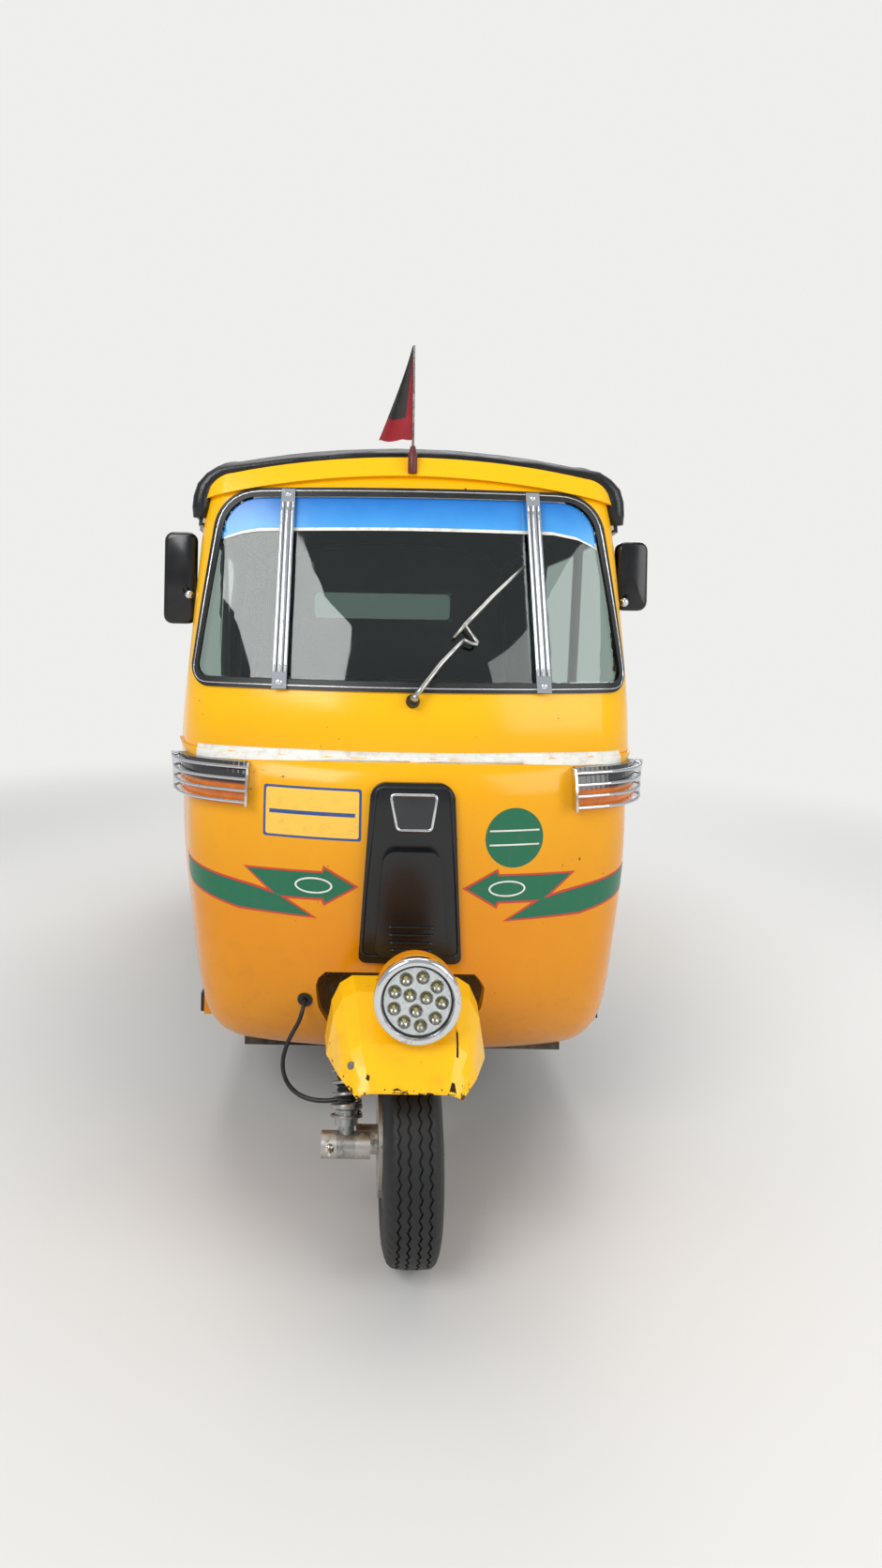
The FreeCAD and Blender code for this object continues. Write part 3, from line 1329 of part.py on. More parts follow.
cushion("driver_seat", "DriverSeat", ("-SeatHalf", "SeatPlace", "SeatHigh - CushionThick"),
        ("SeatHalf", "SeatPlace + SeatDepth", "SeatHigh"), 26)
cushion("driver_backrest", "DriverBackrest",
        ("-SeatHalf + 20", "SeatPlace + SeatDepth + 28 - 11 - SeatGap - 62", "SeatHigh + 40"),
        ("SeatHalf - 20", "SeatPlace + SeatDepth + 28 - 11 - SeatGap", "SeatHigh + 320"), 22)
cushion("passenger_bench", "PassengerBench", ("-BenchHalf", "Wheelbase + BenchFront", "BenchHigh - CushionThick"),
        ("BenchHalf", "Wheelbase + BenchFront + BenchDepth", "BenchHigh"), 30)
cushion("passenger_backrest", "PassengerBackrest",
        ("-BenchHalf", "Wheelbase + BenchFront + BenchDepth - 88", "BenchHigh + SeatGap"),
        ("BenchHalf", "Wheelbase + BenchFront + BenchDepth - SeatGap", "BenchHigh + 420"), 28)

# Rear body: a rounded tub of pressed steel with wheel arches and an opening for the engine lid

rear = doc.addObject("PartDesign::Body", "RearBody")
plan = sketch_on(rear, "XY_Plane", "RearPlan")
FRONT_EDGE = behind("Wheelbase + BodyFront")
BACK_EDGE = behind("Wheelbase + BodyBack")
polygon(plan, [("-BodyHalf", FRONT_EDGE), ("BodyHalf", FRONT_EDGE), ("BodyHalf", BACK_EDGE), ("-BodyHalf", BACK_EDGE)])
tub = rear.newObject("PartDesign::Pad", "RearTub")
tub.Profile = plan
bind(tub, Length="BodyHigh - BodyLow")
doc.recompute()
upright = [f"Edge{index + 1}" for index, edge in enumerate(tub.Shape.Edges)
           if abs(edge.Vertexes[0].Z - edge.Vertexes[1].Z) > 1]
rounded = rear.newObject("PartDesign::Fillet", "RearCorners")
rounded.Base = (tub, upright)
bind(rounded, Radius="BodyCorner")
doc.recompute()
bind(rear, Placement_Base_z="BodyLow")
doc.recompute()
outer_tub = rear.Shape.copy()


def make_rear_body():
    """The rounded tub hollowed out, with its arches, doorways and lid opening cut."""
    shell = outer_tub.cut(tub_inside(0))
    axle = Vector(-2 * size.BodyHalf, y_at(size.Wheelbase), size.TyreRadius)
    arch = Part.makeCylinder(size.ArchRadius, 4 * size.BodyHalf, axle, Vector(1, 0, 0))
    shell = shell.cut(arch)
    # The passengers step in over the low front: the wall there stops at the sill
    doorway_half = size.FloorHalf - 10
    front_y = y_at(size.Wheelbase + size.BodyFront - 1)
    doorway = Part.makeBox(2 * doorway_half, size.BodyWall + 2, size.BodyHigh,
                           Vector(-doorway_half, front_y, size.FloorTop - size.FloorDepth - size.SeatGap))
    shell = shell.cut(doorway)
    # The side walls fall in a slope towards the front
    slope = prism_along_x([
        (y_at(size.Wheelbase + size.BodyFront - 20), size.BodyHigh - 250, 1),
        (y_at(size.Wheelbase + size.BodyFront + 120), size.BodyHigh - 250, 120),
        (y_at(size.Wheelbase + size.BodyFront + 330), size.BodyHigh + 20, 1),
        (y_at(size.Wheelbase + size.BodyFront - 20), size.BodyHigh + 20, 1)],
        -2 * size.BodyHalf, 2 * size.BodyHalf)
    shell = shell.cut(slope)
    half = size.LidHalf + size.SwingGap
    lid_hole = Part.makeBox(2 * half, 4 * size.BodyWall, size.LidHigh - size.LidLow + 2 * size.SwingGap,
                            Vector(-half, y_at(size.Wheelbase + size.BodyBack - 2 * size.BodyWall),
                                   size.LidLow - size.SwingGap))
    shell = shell.cut(lid_hole)
    # Hinge posts above the opening, with a pin that the lid's knuckles turn on
    axis_y = y_at(size.Wheelbase + size.BodyBack) + size.LidHingeRadius + 1
    axis_z = size.LidHigh + size.SwingGap + size.LidHingeRadius
    for side in (-1, 1):
        start = side * (size.LidHalf - 60) - 30
        pin = Part.makeCylinder(size.LidPinRadius, 60, Vector(start, axis_y, axis_z), Vector(1, 0, 0))
        shell = shell.fuse(pin)
        for end in (start, start + 50):
            post = Part.makeBox(10, size.LidHingeRadius * 2 + 2, 2 * size.LidHingeRadius,
                                Vector(end, y_at(size.Wheelbase + size.BodyBack) - 1, axis_z - size.LidHingeRadius))
            shell = shell.fuse(post)
    return shell


part("rear_body", made("RearBodyShell", make_rear_body()))


def make_engine_lid():
    """Engine lid with its louvres and two hinge knuckles along the top."""
    face = y_at(size.Wheelbase + size.BodyBack)
    lid = Part.makeBox(2 * size.LidHalf, size.BodyWall, size.LidHigh - size.LidLow,
                       Vector(-size.LidHalf, face - size.BodyWall, size.LidLow))
    upright_edges = [edge for edge in lid.Edges if abs(edge.Vertexes[0].Y - edge.Vertexes[1].Y) > 1]
    lid = lid.makeFillet(24, upright_edges)
    louvre_count = 6
    for index in range(louvre_count):
        z = size.LidLow + 90 + index * 34
        for x in (-size.LidHalf + 70, 40):
            slot = Part.makeBox(size.LidHalf - 110, 3 * size.BodyWall, 9, Vector(x, face - 2 * size.BodyWall, z))
            lid = lid.cut(slot)
    axis_y = face + size.LidHingeRadius + 1
    axis_z = size.LidHigh + size.SwingGap + size.LidHingeRadius
    for side in (-1, 1):
        start = side * (size.LidHalf - 60) - 30 + 10 + size.RunningGap
        width = 40 - 2 * size.RunningGap
        knuckle = Part.makeCylinder(size.LidHingeRadius, width, Vector(start, axis_y, axis_z), Vector(1, 0, 0))
        leaf = Part.makeBox(width, 5, size.SwingGap + size.LidHingeRadius + 40,
                            Vector(start, face, size.LidHigh - 40))
        bore = Part.makeCylinder(size.LidPinRadius + size.RunningGap, 60, Vector(start - 5, axis_y, axis_z),
                                 Vector(1, 0, 0))
        lid = lid.fuse(leaf).fuse(knuckle).cut(bore)
    handle = Part.makeBox(90, 16, 22, Vector(-45, face, size.LidLow + 22))
    return lid.fuse(handle.makeFillet(6, handle.Edges[:4]))


part("engine_lid", made("EngineLid", make_engine_lid()))

# Inside the rear body

BENCH_BACK = "Wheelbase + BenchFront + BenchDepth"
base_front = box("BenchFrontWall", ("-BodyHalf + BodyWall + SeatGap", "Wheelbase + BenchFront + 10", "FloorTop + SeatGap"),
                 ("BodyHalf - BodyWall - SeatGap", "Wheelbase + BenchFront + 28", "BenchHigh - CushionThick - SeatGap - 14"))
base_top = box("BenchTop", ("-BenchHalf + 20", "Wheelbase + BenchFront + 10", "BenchHigh - CushionThick - SeatGap - 14"),
               ("BenchHalf - 20", f"{BENCH_BACK}", "BenchHigh - CushionThick - SeatGap"))
base_back = box("BenchBackWall", ("-BenchHalf - 40", f"{BENCH_BACK}", "HousingTop + SeatGap"),
                ("BenchHalf + 40", f"{BENCH_BACK} + 14", "BodyHigh - 10"))
deck = box("LuggageDeckSheet", ("-BodyHalf", f"{BENCH_BACK} + 10", "LidHigh + 44"),
           ("BodyHalf", "Wheelbase + BodyBack", "LidHigh + 56"))
doc.recompute()
deck_shape = deck.Shape.common(tub_inside(size.SeatGap))
bench_shape = base_front.Shape.multiFuse([base_top.Shape, base_back.Shape, deck_shape])
part("bench_frame", made("BenchFrame", bench_shape))


def make_housings():
    """Wheel housings: an inner wall, a top and closed ends over each rear wheel."""
    near = y_at(size.Wheelbase - size.ArchRadius - 24)
    depth = 2 * size.ArchRadius + 48
    far_half = size.BodyHalf - size.BodyWall - size.SeatGap
    low = size.FloorTop + size.SeatGap
    block = Part.makeBox(far_half - size.HousingPlace, depth, size.HousingTop - low, Vector(size.HousingPlace, near, low))
    space = Part.makeBox(far_half, depth - 24, size.HousingTop - 12, Vector(size.HousingPlace + 12, near + 12, 0))
    housing = block.cut(space)
    shaft = Part.makeBox(60, 110, 170, Vector(size.HousingPlace - 20, y_at(size.Wheelbase) - 55, size.TyreRadius - 60))
    hub_face = size.Track / 2 - size.RimHalf - 8 - size.RunningGap
    arm_gap = Part.makeBox(60, 80, size.TyreRadius + 100, Vector(hub_face - 42 - 30, near - 20, 0))
    housing = housing.cut(shaft).cut(arm_gap)
    return Part.Compound([housing, mirrored(housing)])


part("wheel_housings", made("WheelHousings", make_housings()))


def make_chassis():
    """Rear chassis: two longitudinal members and cross members under the tub."""
    low = size.BodyLow + 20
    start = size.Wheelbase + size.BenchFront + 28 + size.SeatGap
    stop = size.Wheelbase + size.BodyBack - size.BodyWall - size.SeatGap
    pieces = []
    for side in (-1, 1):
        x = side * 300 - 20
        pieces.append(Part.makeBox(40, stop - start, 46, Vector(x, y_at(start), low + 20)))
    hub_face = size.Track / 2 - size.RimHalf - 8 - size.RunningGap
    for place in (start, size.Wheelbase + 290):
        pieces.append(Part.makeBox(2 * 385, 40, 46, Vector(-385, y_at(place), low + 20)))
    reach = hub_face - 82 - size.SeatGap
    pieces.append(Part.makeBox(2 * reach, 40, 46, Vector(-reach, y_at(size.Wheelbase - 330), low + 20)))
    for side in (-1, 1):
        x = side * (reach - 10) - 10
        pieces.append(Part.makeBox(20, 40, 66, Vector(x, y_at(size.Wheelbase - 330), size.TyreRadius + 40)))
    return pieces[0].multiFuse(pieces[1:])


part("rear_chassis", made("RearChassis", make_chassis()))

engine = box("EngineBlock", ("-170", "Wheelbase + 40", "TyreRadius + 8"), ("170", "Wheelbase + 290 - SeatGap", "BodyLow + 330"))
gearbox = box("GearboxBlock", ("-120", "Wheelbase - 95", "TyreRadius - 50"), ("120", "Wheelbase + 45", "TyreRadius + 95"))
part("engine_block", fuse("Engine", engine, gearbox))


def make_silencer():
    start = Vector(210, y_at(size.Wheelbase + 338), size.BodyLow - 52)
    can = Part.makeCylinder(52, 280, start, Vector(1, 0, 0))
    can = can.makeFillet(14, [edge for edge in can.Edges if len(edge.Vertexes) == 1])
    inlet = tube([(170 + size.SeatGap, y_at(size.Wheelbase + 200), size.BodyLow - 30),
                  (250, y_at(size.Wheelbase + 200), size.BodyLow - 30),
                  (250, y_at(size.Wheelbase + 338), size.BodyLow - 52)], 17, 45)
    tail = tube([(470, y_at(size.Wheelbase + 338), size.BodyLow - 52), (530, y_at(size.Wheelbase + 338), size.BodyLow - 52),
                 (530, y_at(size.Wheelbase + 392), size.BodyLow - 54)], 15, 36)
    return can.multiFuse([inlet, tail])


part("silencer", made("Silencer", make_silencer()))


def make_arms():
    """Trailing arms with their pivots, hub carriers, back plates and stub axles."""
    pieces = []
    hub_face = size.Track / 2 - size.RimHalf - 8 - size.RunningGap
    axle = Vector(0, y_at(size.Wheelbase), size.TyreRadius)
    pivot_y = y_at(size.Wheelbase - 310)
    pivot_z = size.TyreRadius + 62
    arm = tube([(hub_face - 42, pivot_y, pivot_z), (hub_face - 42, axle.y, axle.z)], 21)
    barrel = Part.makeCylinder(24, 80, Vector(hub_face - 82, pivot_y, pivot_z), Vector(1, 0, 0))
    carrier = Part.makeCylinder(44, 34, Vector(hub_face - size.PlateThick - 34, axle.y, axle.z), Vector(1, 0, 0))
    plate = Part.makeCylinder(size.PlateRadius, size.PlateThick, Vector(hub_face - size.PlateThick, axle.y, axle.z),
                              Vector(1, 0, 0))
    stub = Part.makeCylinder(size.AxleRadius, size.RimHalf * 2 + 18, Vector(hub_face - 10, axle.y, axle.z),
                             Vector(1, 0, 0))
    shape = arm.multiFuse([barrel, carrier, plate, stub])
    return Part.Compound([shape, mirrored(shape)])


part("trailing_arms", made("TrailingArms", make_arms()))


def make_shafts():
    start = 120 + size.SeatGap
    stop = size.Track / 2 - size.RimHalf - 8 - size.RunningGap - 42 - 21 - size.SeatGap
    axle = Vector(start, y_at(size.Wheelbase), size.TyreRadius)
    shaft = Part.makeCylinder(13, stop - start, axle, Vector(1, 0, 0))
    boot = Part.makeCone(38, 20, 60, axle, Vector(1, 0, 0))
    outer_boot = Part.makeCone(20, 34, 50, Vector(stop - 50, axle.y, axle.z), Vector(1, 0, 0))
    shaft = shaft.multiFuse([boot, outer_boot])
    return Part.Compound([shaft, mirrored(shaft)])


part("half_shafts", made("HalfShafts", make_shafts()))


def make_rear_springs():
    """Spring and damper units from the trailing arms up to the wheel housings."""
    x = size.Track / 2 - size.RimHalf - 8 - size.RunningGap - 42
    y = y_at(size.Wheelbase - 110)
    low = size.TyreRadius + 62 * 110 / 310 + 21.4 + 6.2 + size.SeatGap
    high = size.HousingTop - 12 - size.SeatGap
    spring = coil(Vector(x, y, low + 16), Vector(x, y, high - 8), 40, 10, 6)
    rod = Part.makeCylinder(16, high - low, Vector(x, y, low), Vector(0, 0, 1))
    foot = Part.makeCylinder(30, 16.2, Vector(x, y, low), Vector(0, 0, 1))
    head = Part.makeCylinder(41, 8.2, Vector(x, y, high - 8.2), Vector(0, 0, 1))
    unit = spring.multiFuse([rod, foot, head])
    return Part.Compound([unit, mirrored(unit)])


part("rear_springs", made("RearSprings", make_rear_springs()))

# Rear lamps and bumper

lamp = box("TailLampBlock", ("BodyHalf - BodyCorner - 106", "Wheelbase + BodyBack + SeatGap", "LidLow + 250"),
           ("BodyHalf - BodyCorner - 6", "Wheelbase + BodyBack + 26", "LidLow + 380"))
part("tail_lamps", both_sides("TailLamps", lamp))


def make_bumper():
    """Bumper tube across the back on two brackets."""
    y = y_at(size.Wheelbase + size.RearOverhang - 14)
    z = size.LidLow - 60
    bar = Part.makeCylinder(14, 2 * (size.BodyHalf - 60), Vector(-size.BodyHalf + 60, y, z), Vector(1, 0, 0))
    pieces = []
    for side in (-1, 1):
        x = side * 470 - 20
        pieces.append(Part.makeBox(40, size.RearOverhang - size.BodyBack - 14 - size.SeatGap, 34,
                                   Vector(x, y_at(size.Wheelbase + size.BodyBack) + size.SeatGap, z - 17)))
    return bar.multiFuse(pieces)


part("rear_bumper", made("RearBumper", make_bumper()))

# Flag: a pole in a bracket on the visor, with a limp pennant


def make_flag_pole():
    x = 4
    y = frame_front(x, size.VisorLow + 20) - size.VisorDepth - 9
    bracket = Part.makeBox(22, 8.6, 60, Vector(x - 11, y - 0.2, size.VisorLow + 2))
    bracket = bracket.cut(frame_solid(-size.VisorDepth - size.SeatGap))
    bracket = max(bracket.Solids, key=lambda piece: piece.Volume)
    socket = Part.makeCylinder(6, 56, Vector(x, y, size.VisorLow + 4), Vector(0, 0, 1))
    pole = Part.makeCylinder(3, size.FlagTop - size.VisorLow - 6, Vector(x, y, size.VisorLow + 6), Vector(0, 0, 1))
    return pole.multiFuse([bracket, socket]).cut(frame_solid(-size.VisorDepth - size.SeatGap))



def make_flag():
    x = 4
    y = frame_front(x, size.VisorLow + 20) - size.VisorDepth - 9
    edge = x - 2
    outline = Part.makePolygon([Vector(edge, y, size.FlagTop - 4), Vector(edge, y, size.FlagTop - 205),
                                Vector(edge - 62, y, size.FlagTop - 226), Vector(edge - 30, y, size.FlagTop - 120),
                                Vector(edge - 14, y, size.FlagTop - 60), Vector(edge, y, size.FlagTop - 4)])
    cloth = Part.Face(outline).extrude(Vector(0, 3, 0))
    cloth.translate(Vector(0, -1.5, 0))
    return cloth


part("flag", made("Flag", make_flag_pole().fuse(make_flag())))


def finish():
    doc.recompute()
    os.makedirs("parts", exist_ok=True)
    faults = [feature.Name for feature in doc.Objects
              if {"Invalid", "Error"} & set(feature.State)]
    for node, feature in parts.items():
        if feature.Shape.isNull() or not feature.Shape.isValid() or not feature.Shape.Solids:
            faults.append(node)
    if faults:
        raise SystemExit("failed: " + ", ".join(faults))
    for node, feature in parts.items():
        feature.Shape.exportStep(f"parts/{node}.step")
        print(node, len(feature.Shape.Solids), round(feature.Shape.Volume / 1000))


finish()
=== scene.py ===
"""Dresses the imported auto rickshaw: paint, fabric, rubber, glass and the small fittings."""

from functools import partial
from math import cos, dist, exp, pi, radians, sin, tan

import bmesh
import bpy
from mathutils import Matrix, Vector


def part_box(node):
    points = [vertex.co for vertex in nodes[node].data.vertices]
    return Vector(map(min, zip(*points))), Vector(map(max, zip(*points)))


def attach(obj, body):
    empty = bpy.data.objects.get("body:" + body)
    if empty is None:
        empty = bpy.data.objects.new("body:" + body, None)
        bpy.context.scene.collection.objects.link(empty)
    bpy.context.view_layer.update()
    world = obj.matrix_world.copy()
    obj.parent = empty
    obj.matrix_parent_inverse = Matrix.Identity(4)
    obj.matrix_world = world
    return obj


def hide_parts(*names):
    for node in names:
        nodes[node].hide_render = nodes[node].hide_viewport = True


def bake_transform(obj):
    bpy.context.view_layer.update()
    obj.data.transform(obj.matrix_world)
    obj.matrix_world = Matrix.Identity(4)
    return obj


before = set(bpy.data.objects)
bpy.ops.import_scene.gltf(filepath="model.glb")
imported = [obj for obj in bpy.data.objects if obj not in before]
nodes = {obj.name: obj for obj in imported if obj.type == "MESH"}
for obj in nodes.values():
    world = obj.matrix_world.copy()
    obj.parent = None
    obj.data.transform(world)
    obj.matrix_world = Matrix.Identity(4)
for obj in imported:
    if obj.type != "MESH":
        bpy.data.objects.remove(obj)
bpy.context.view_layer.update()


# Camera: where the photographer stood, 1.6 m in front of the front axle and 1.23 m up.
# A wide lens looks level along the street, a little off to the vehicle's right, with a slight roll.
def set_out(name, data):
    """A new object in the scene."""
    thing = bpy.data.objects.new(name, data)
    bpy.context.scene.collection.objects.link(thing)
    return thing


FILM_HEIGHT = 36  # mm, for the 1672 pixels of the frame's height
FOCAL_PIXELS = 850
camera_data = bpy.data.cameras.new("street_camera")
camera = set_out("street_camera", camera_data)
camera_data.sensor_width = FILM_HEIGHT
camera_data.lens = FOCAL_PIXELS / 1672 * FILM_HEIGHT
camera_data.shift_x = 0.053
camera_data.shift_y = -0.099
turned = Matrix.Rotation(radians(90), 4, "X") @ Matrix.Rotation(radians(1), 4, "Z")
camera.matrix_world = Matrix.Translation((-0.119, -2.7065, 1.231)) @ turned
bpy.context.scene.camera = camera


# Studio: a pale floor, a pale world that also shows in glass and metal, and soft lamps.
# The floor and the world are not part of the vehicle.
def linear(hex_colour):
    """sRGB hex colour as linear red, green, blue, alpha."""
    channels = [int(hex_colour[i:i + 2], 16) / 255 for i in (1, 3, 5)]
    return tuple(c / 12.92 if c <= 0.04045 else ((c + 0.055) / 1.055) ** 2.4 for c in channels) + (1,)


def feed(node, inputs):
    """Sets a node's inputs, by name or in order, from values, hex colours or other nodes' outputs."""
    for name, value in inputs.items() if isinstance(inputs, dict) else enumerate(inputs):
        if isinstance(value, bpy.types.NodeSocket):
            node.id_data.links.new(value, node.inputs[name])
        else:
            node.inputs[name].default_value = linear(value) if isinstance(value, str) else value


def add_node(tree, kind, inputs=(), out=None, **settings):
    """Adds a node with its settings and inputs, and gives the output asked for, or its first in use.

    A texture is laid out by the place on the object, in metres.
    """
    added = tree.nodes.new("ShaderNode" + kind)
    for name, value in settings.items():
        setattr(added, name, value)
    if kind.startswith("Tex") and "Vector" in added.inputs:
        feed(added, {"Vector": tree.nodes["where"].outputs["Object"]})
    feed(added, inputs)
    return added.outputs[out] if out is not None else next((o for o in added.outputs if o.enabled), added)


def surface(name):
    """A new material, what adds nodes to it, and its Principled shader."""
    material = bpy.data.materials.new(name)
    material.use_nodes = True
    material.node_tree.nodes.clear()
    node = partial(add_node, material.node_tree)
    shader = node("BsdfPrincipled").node
    node("OutputMaterial", {"Surface": shader.outputs[0]})
    node("TexCoord", name="where")
    return material, node, shader


def place(name, mesh, material, body="chassis", stands_for=()):
    """Puts a finished mesh in the scene, riding on a body of the vehicle where one is named."""
    thing = set_out(name, mesh)
    mesh.materials.clear()
    mesh.materials.append(material)
    if body:
        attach(thing, body)
    if stands_for:
        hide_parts(*stands_for)
    return thing


floor_material, node, shader = surface("studio_floor")
feed(shader, {"Base Color": "#DCDAD6", "Roughness": 0.75, "Specular IOR Level": 0.2})
# Past four metres from the vehicle the floor runs into the pale background
away = node("VectorMath", [node("TexCoord", out="Object")], "Value", operation="LENGTH")
far = node("MapRange", [away, 2.6, 5.2], interpolation_type="SMOOTHSTEP")
haze = node("Emission", {"Color": "#F4F4F2", "Strength": 0.95})
ground = node("MixShader", [far, shader.outputs[0], haze])
node("OutputMaterial", {"Surface": ground}, is_active_output=True)
floor_mesh = bpy.data.meshes.new("studio_floor")
floor_mesh.from_pydata([(-30, -30, 0), (30, -30, 0), (30, 30, 0), (-30, 30, 0)], [], [(0, 1, 2, 3)])
floor_mesh.materials.append(floor_material)
studio_floor = set_out("studio_floor", floor_mesh)
studio_floor.location.z = -0.0005

world = bpy.data.worlds.new("studio")
bpy.context.scene.world = world
world.use_nodes = True
world.node_tree.nodes.clear()
node = partial(add_node, world.node_tree)
straight, through = (node("LightPath", out=f"Is {way} Ray") for way in ("Camera", "Transmission"))
seen = node("Math", [straight, through], operation="MAXIMUM")
lit = node("Background", {"Color": "#DDE3EA", "Strength": 0.62})
shown = node("Background", {"Color": "#F4F4F2", "Strength": 0.95})
sky = node("MixShader", [seen, lit, shown])
node("OutputWorld", {"Surface": sky})

LAMPS = [
    # name, place, aimed at, width, watts
    ("key_lamp", (-2.6, -4.6, 3.9), (0, -0.9, 0.8), 2.6, 150),
    ("fill_lamp", (3.4, -3.6, 2.6), (0, -0.8, 0.8), 2.8, 75),
    ("roof_lamp", (0, 0.4, 4.6), (0, 0.2, 0.9), 3.4, 115),
    ("back_lamp", (1.6, 4.4, 3.2), (0, 0.6, 0.9), 2.6, 75),
]
for name, spot, target, width, watts in LAMPS:
    lamp_data = bpy.data.lights.new(name, "AREA")
    lamp_data.shape = "SQUARE"
    lamp_data.size = width
    lamp_data.energy = watts
    lamp = set_out(name, lamp_data)
    lamp.location = spot
    lamp.rotation_euler = (Vector(target) - Vector(spot)).to_track_quat("-Z", "Y").to_euler()
bpy.context.scene.view_settings.view_transform = "Standard"


# Nose, windscreen frame, visor, sills, rear body, engine lid and wheel well: pressed sheet steel,
# spot welded and sprayed with stoving enamel in golden yellow. It is glossy and slightly wavy, dirtier
# low down, with small chips down to brown rusted steel. Its colour turns darker and more orange low
# down: a little of that is the paint, most of it is painted shade.
def blots(node, size, low, high, least=0, most=1, detail=2, roughness=0.5):
    """Blots of about a size in metres, from noise that starts at low and is full at high."""
    cloud = node("TexNoise", {"Scale": 1 / size, "Detail": detail, "Roughness": roughness})
    return node("MapRange", [cloud, low, high, least, most])


def enamel(name, colour, shaded_low_colour, grime_share, chip_share, lip=None):
    """Sprayed enamel on steel; lip gives the two heights that the chipped edge lies between."""
    material, node, shader = surface(name)
    height = node("SeparateXYZ", [node("TexCoord", out="Object")], 2)
    # Painted shade: the colour runs from the given colour high up to the darker, more orange low colour below about
    # 0.62 m, mostly standing in for shade low down
    cloud = node("TexNoise", {"Scale": 1 / 0.3, "Detail": 3})
    shade_drop = node("MapRange", [height, 1.08, 0.62])
    shade_drop = node("Math", [cloud, 0.45, shade_drop], operation="MULTIPLY_ADD")
    tone = node("MapRange", [shade_drop, 0.25, 1.25])
    paint = node("Mix", {0: tone, 6: colour, 7: shaded_low_colour}, data_type="RGBA")
    # Road film in blots a few centimetres wide, thicker near the road
    film = blots(node, 0.035, 0.52, 0.78, detail=7, roughness=0.65)
    near_road = node("MapRange", [height, 0.6, 0.26, 0.12, 0.95])
    film = node("Math", [film, near_road], operation="MULTIPLY")
    film = node("Math", [film, grime_share], operation="MULTIPLY")
    paint = node("Mix", {0: film, 6: paint, 7: "#7C5A2A"}, data_type="RGBA")
    # Chips 2 to 6 mm across in loose patches, and close together along a lip
    patch = blots(node, 0.12, 0.58, 0.68, 0, chip_share)
    if lip:
        edge = node("MapRange", [height, lip[1], lip[0], 0, 2.2])
        patch = node("Math", [patch, edge], operation="MAXIMUM")
    speck = node("TexNoise", {"Scale": 1 / 0.011, "Detail": 3, "Roughness": 0.6})
    speck = node("Math", [patch, 0.11, speck], operation="MULTIPLY_ADD")
    chips = node("MapRange", [speck, 0.735, 0.75])
    grain = node("TexNoise", {"Scale": 1 / 0.004, "Detail": 2})
    steel = node("Mix", {0: grain, 6: "#2E1C12", 7: "#7A4A2A"}, data_type="RGBA")
    paint = node("Mix", {0: chips, 6: paint, 7: steel}, data_type="RGBA")
    dull = node("Math", [film, 0.35, 0.22], operation="MULTIPLY_ADD")
    dull = node("Math", [chips, 0.4, dull], operation="MULTIPLY_ADD")
    # Orange peel of the spray, drawn at 5 mm so that it shows, and the step down into a chip
    peel = node("TexNoise", {"Scale": 1 / 0.005, "Detail": 1})
    panel = node("TexNoise", {"Scale": 1 / 0.16, "Detail": 1})
    relief = node("Math", [panel, 9, peel], operation="MULTIPLY_ADD")
    relief = node("Math", [chips, -3, relief], operation="MULTIPLY_ADD")
    bump = node("Bump", {"Height": relief, "Strength": 0.35, "Distance": 0.0004})
    feed(shader, {"Base Color": paint, "Roughness": dull, "Specular IOR Level": 0.28, "Coat Weight": 0.18,
        "Coat Roughness": 0.1, "Normal": bump})
    return material


def finish_nodes(material, *names):
    """Gives CAD nodes their finish."""
    for name in names:
        nodes[name].data.materials.clear()
        nodes[name].data.materials.append(material)


# Its low colour #DC8803 is mostly painted shade
yellow_enamel = enamel("golden_yellow_stoving_enamel", "#FABA06", "#DC8803", 0.35, 0.7)
finish_nodes(yellow_enamel, "nose_shell", "windscreen_frame", "roof_visor", "side_sills", "rear_body", "engine_lid",
    "headlamp_bowl")
# The wheel well: a darker, browner yellow under a heavy road film of real dirt; its brown colour low down is painted
# shade of the recess
finish_nodes(enamel("road_dirty_yellow_enamel", "#C88A14", "#6E5230", 1.6, 1), "wheel_well")


# Painted marks on the nose: a white strip under the windscreen frame, a blank plate field, a round
# green permit mark with no writing, and a green arrow and stripe with red edges on each side. They
# are thin vinyl foil, satin, scuffed and a little dirty, laid on the enamel.
from mathutils.bvhtree import BVHTree


def skin_of(*names):
    """The faces of CAD nodes that a foil is laid on."""
    corners, faces = [], []
    for name in names:
        mesh = nodes[name].data
        start = len(corners)
        corners += [vertex.co.copy() for vertex in mesh.vertices]
        faces += [[start + index for index in polygon.vertices] for polygon in mesh.polygons]
    return BVHTree.FromPolygons(corners, faces)


def meet(skin, x, z, along=1):
    """Where a skin is met at X, Z in metres, from the front or, with -1, from behind, and how it faces."""
    for across, up in ((0, 0), (0.0006, 0.0009), (-0.0011, 0.0007), (0.0009, -0.0013)):
        spot, facing = skin.ray_cast(Vector((x + across, -1.6 * along, z + up)), Vector((0, along, 0)))[:2]
        if spot is not None:
            return Vector((x, spot.y, z)), facing if facing.y * along < 0 else -facing
    return None, None


def made(work, name, crisp=None):
    """The mesh of finished bmesh work, smooth, or sharp where it turns by more than crisp degrees."""
    mesh = bpy.data.meshes.new(name)
    work.to_mesh(mesh)
    work.free()
    mesh.shade_smooth()
    if crisp:
        mesh.set_sharp_from_angle(angle=radians(crisp))
    return mesh


def cut_up(work, axis, low, high, step):
    """Cuts bmesh work across an axis at every step in mm, so that it can bend."""
    normal = Vector([float(axis == k) for k in range(3)])
    for count in range(1, int((high - low) / step) + 1):
        bmesh.ops.bisect_plane(work, geom=work.verts[:] + work.edges[:] + work.faces[:],
                               plane_co=normal * ((low + count * step) / 1000), plane_no=normal)


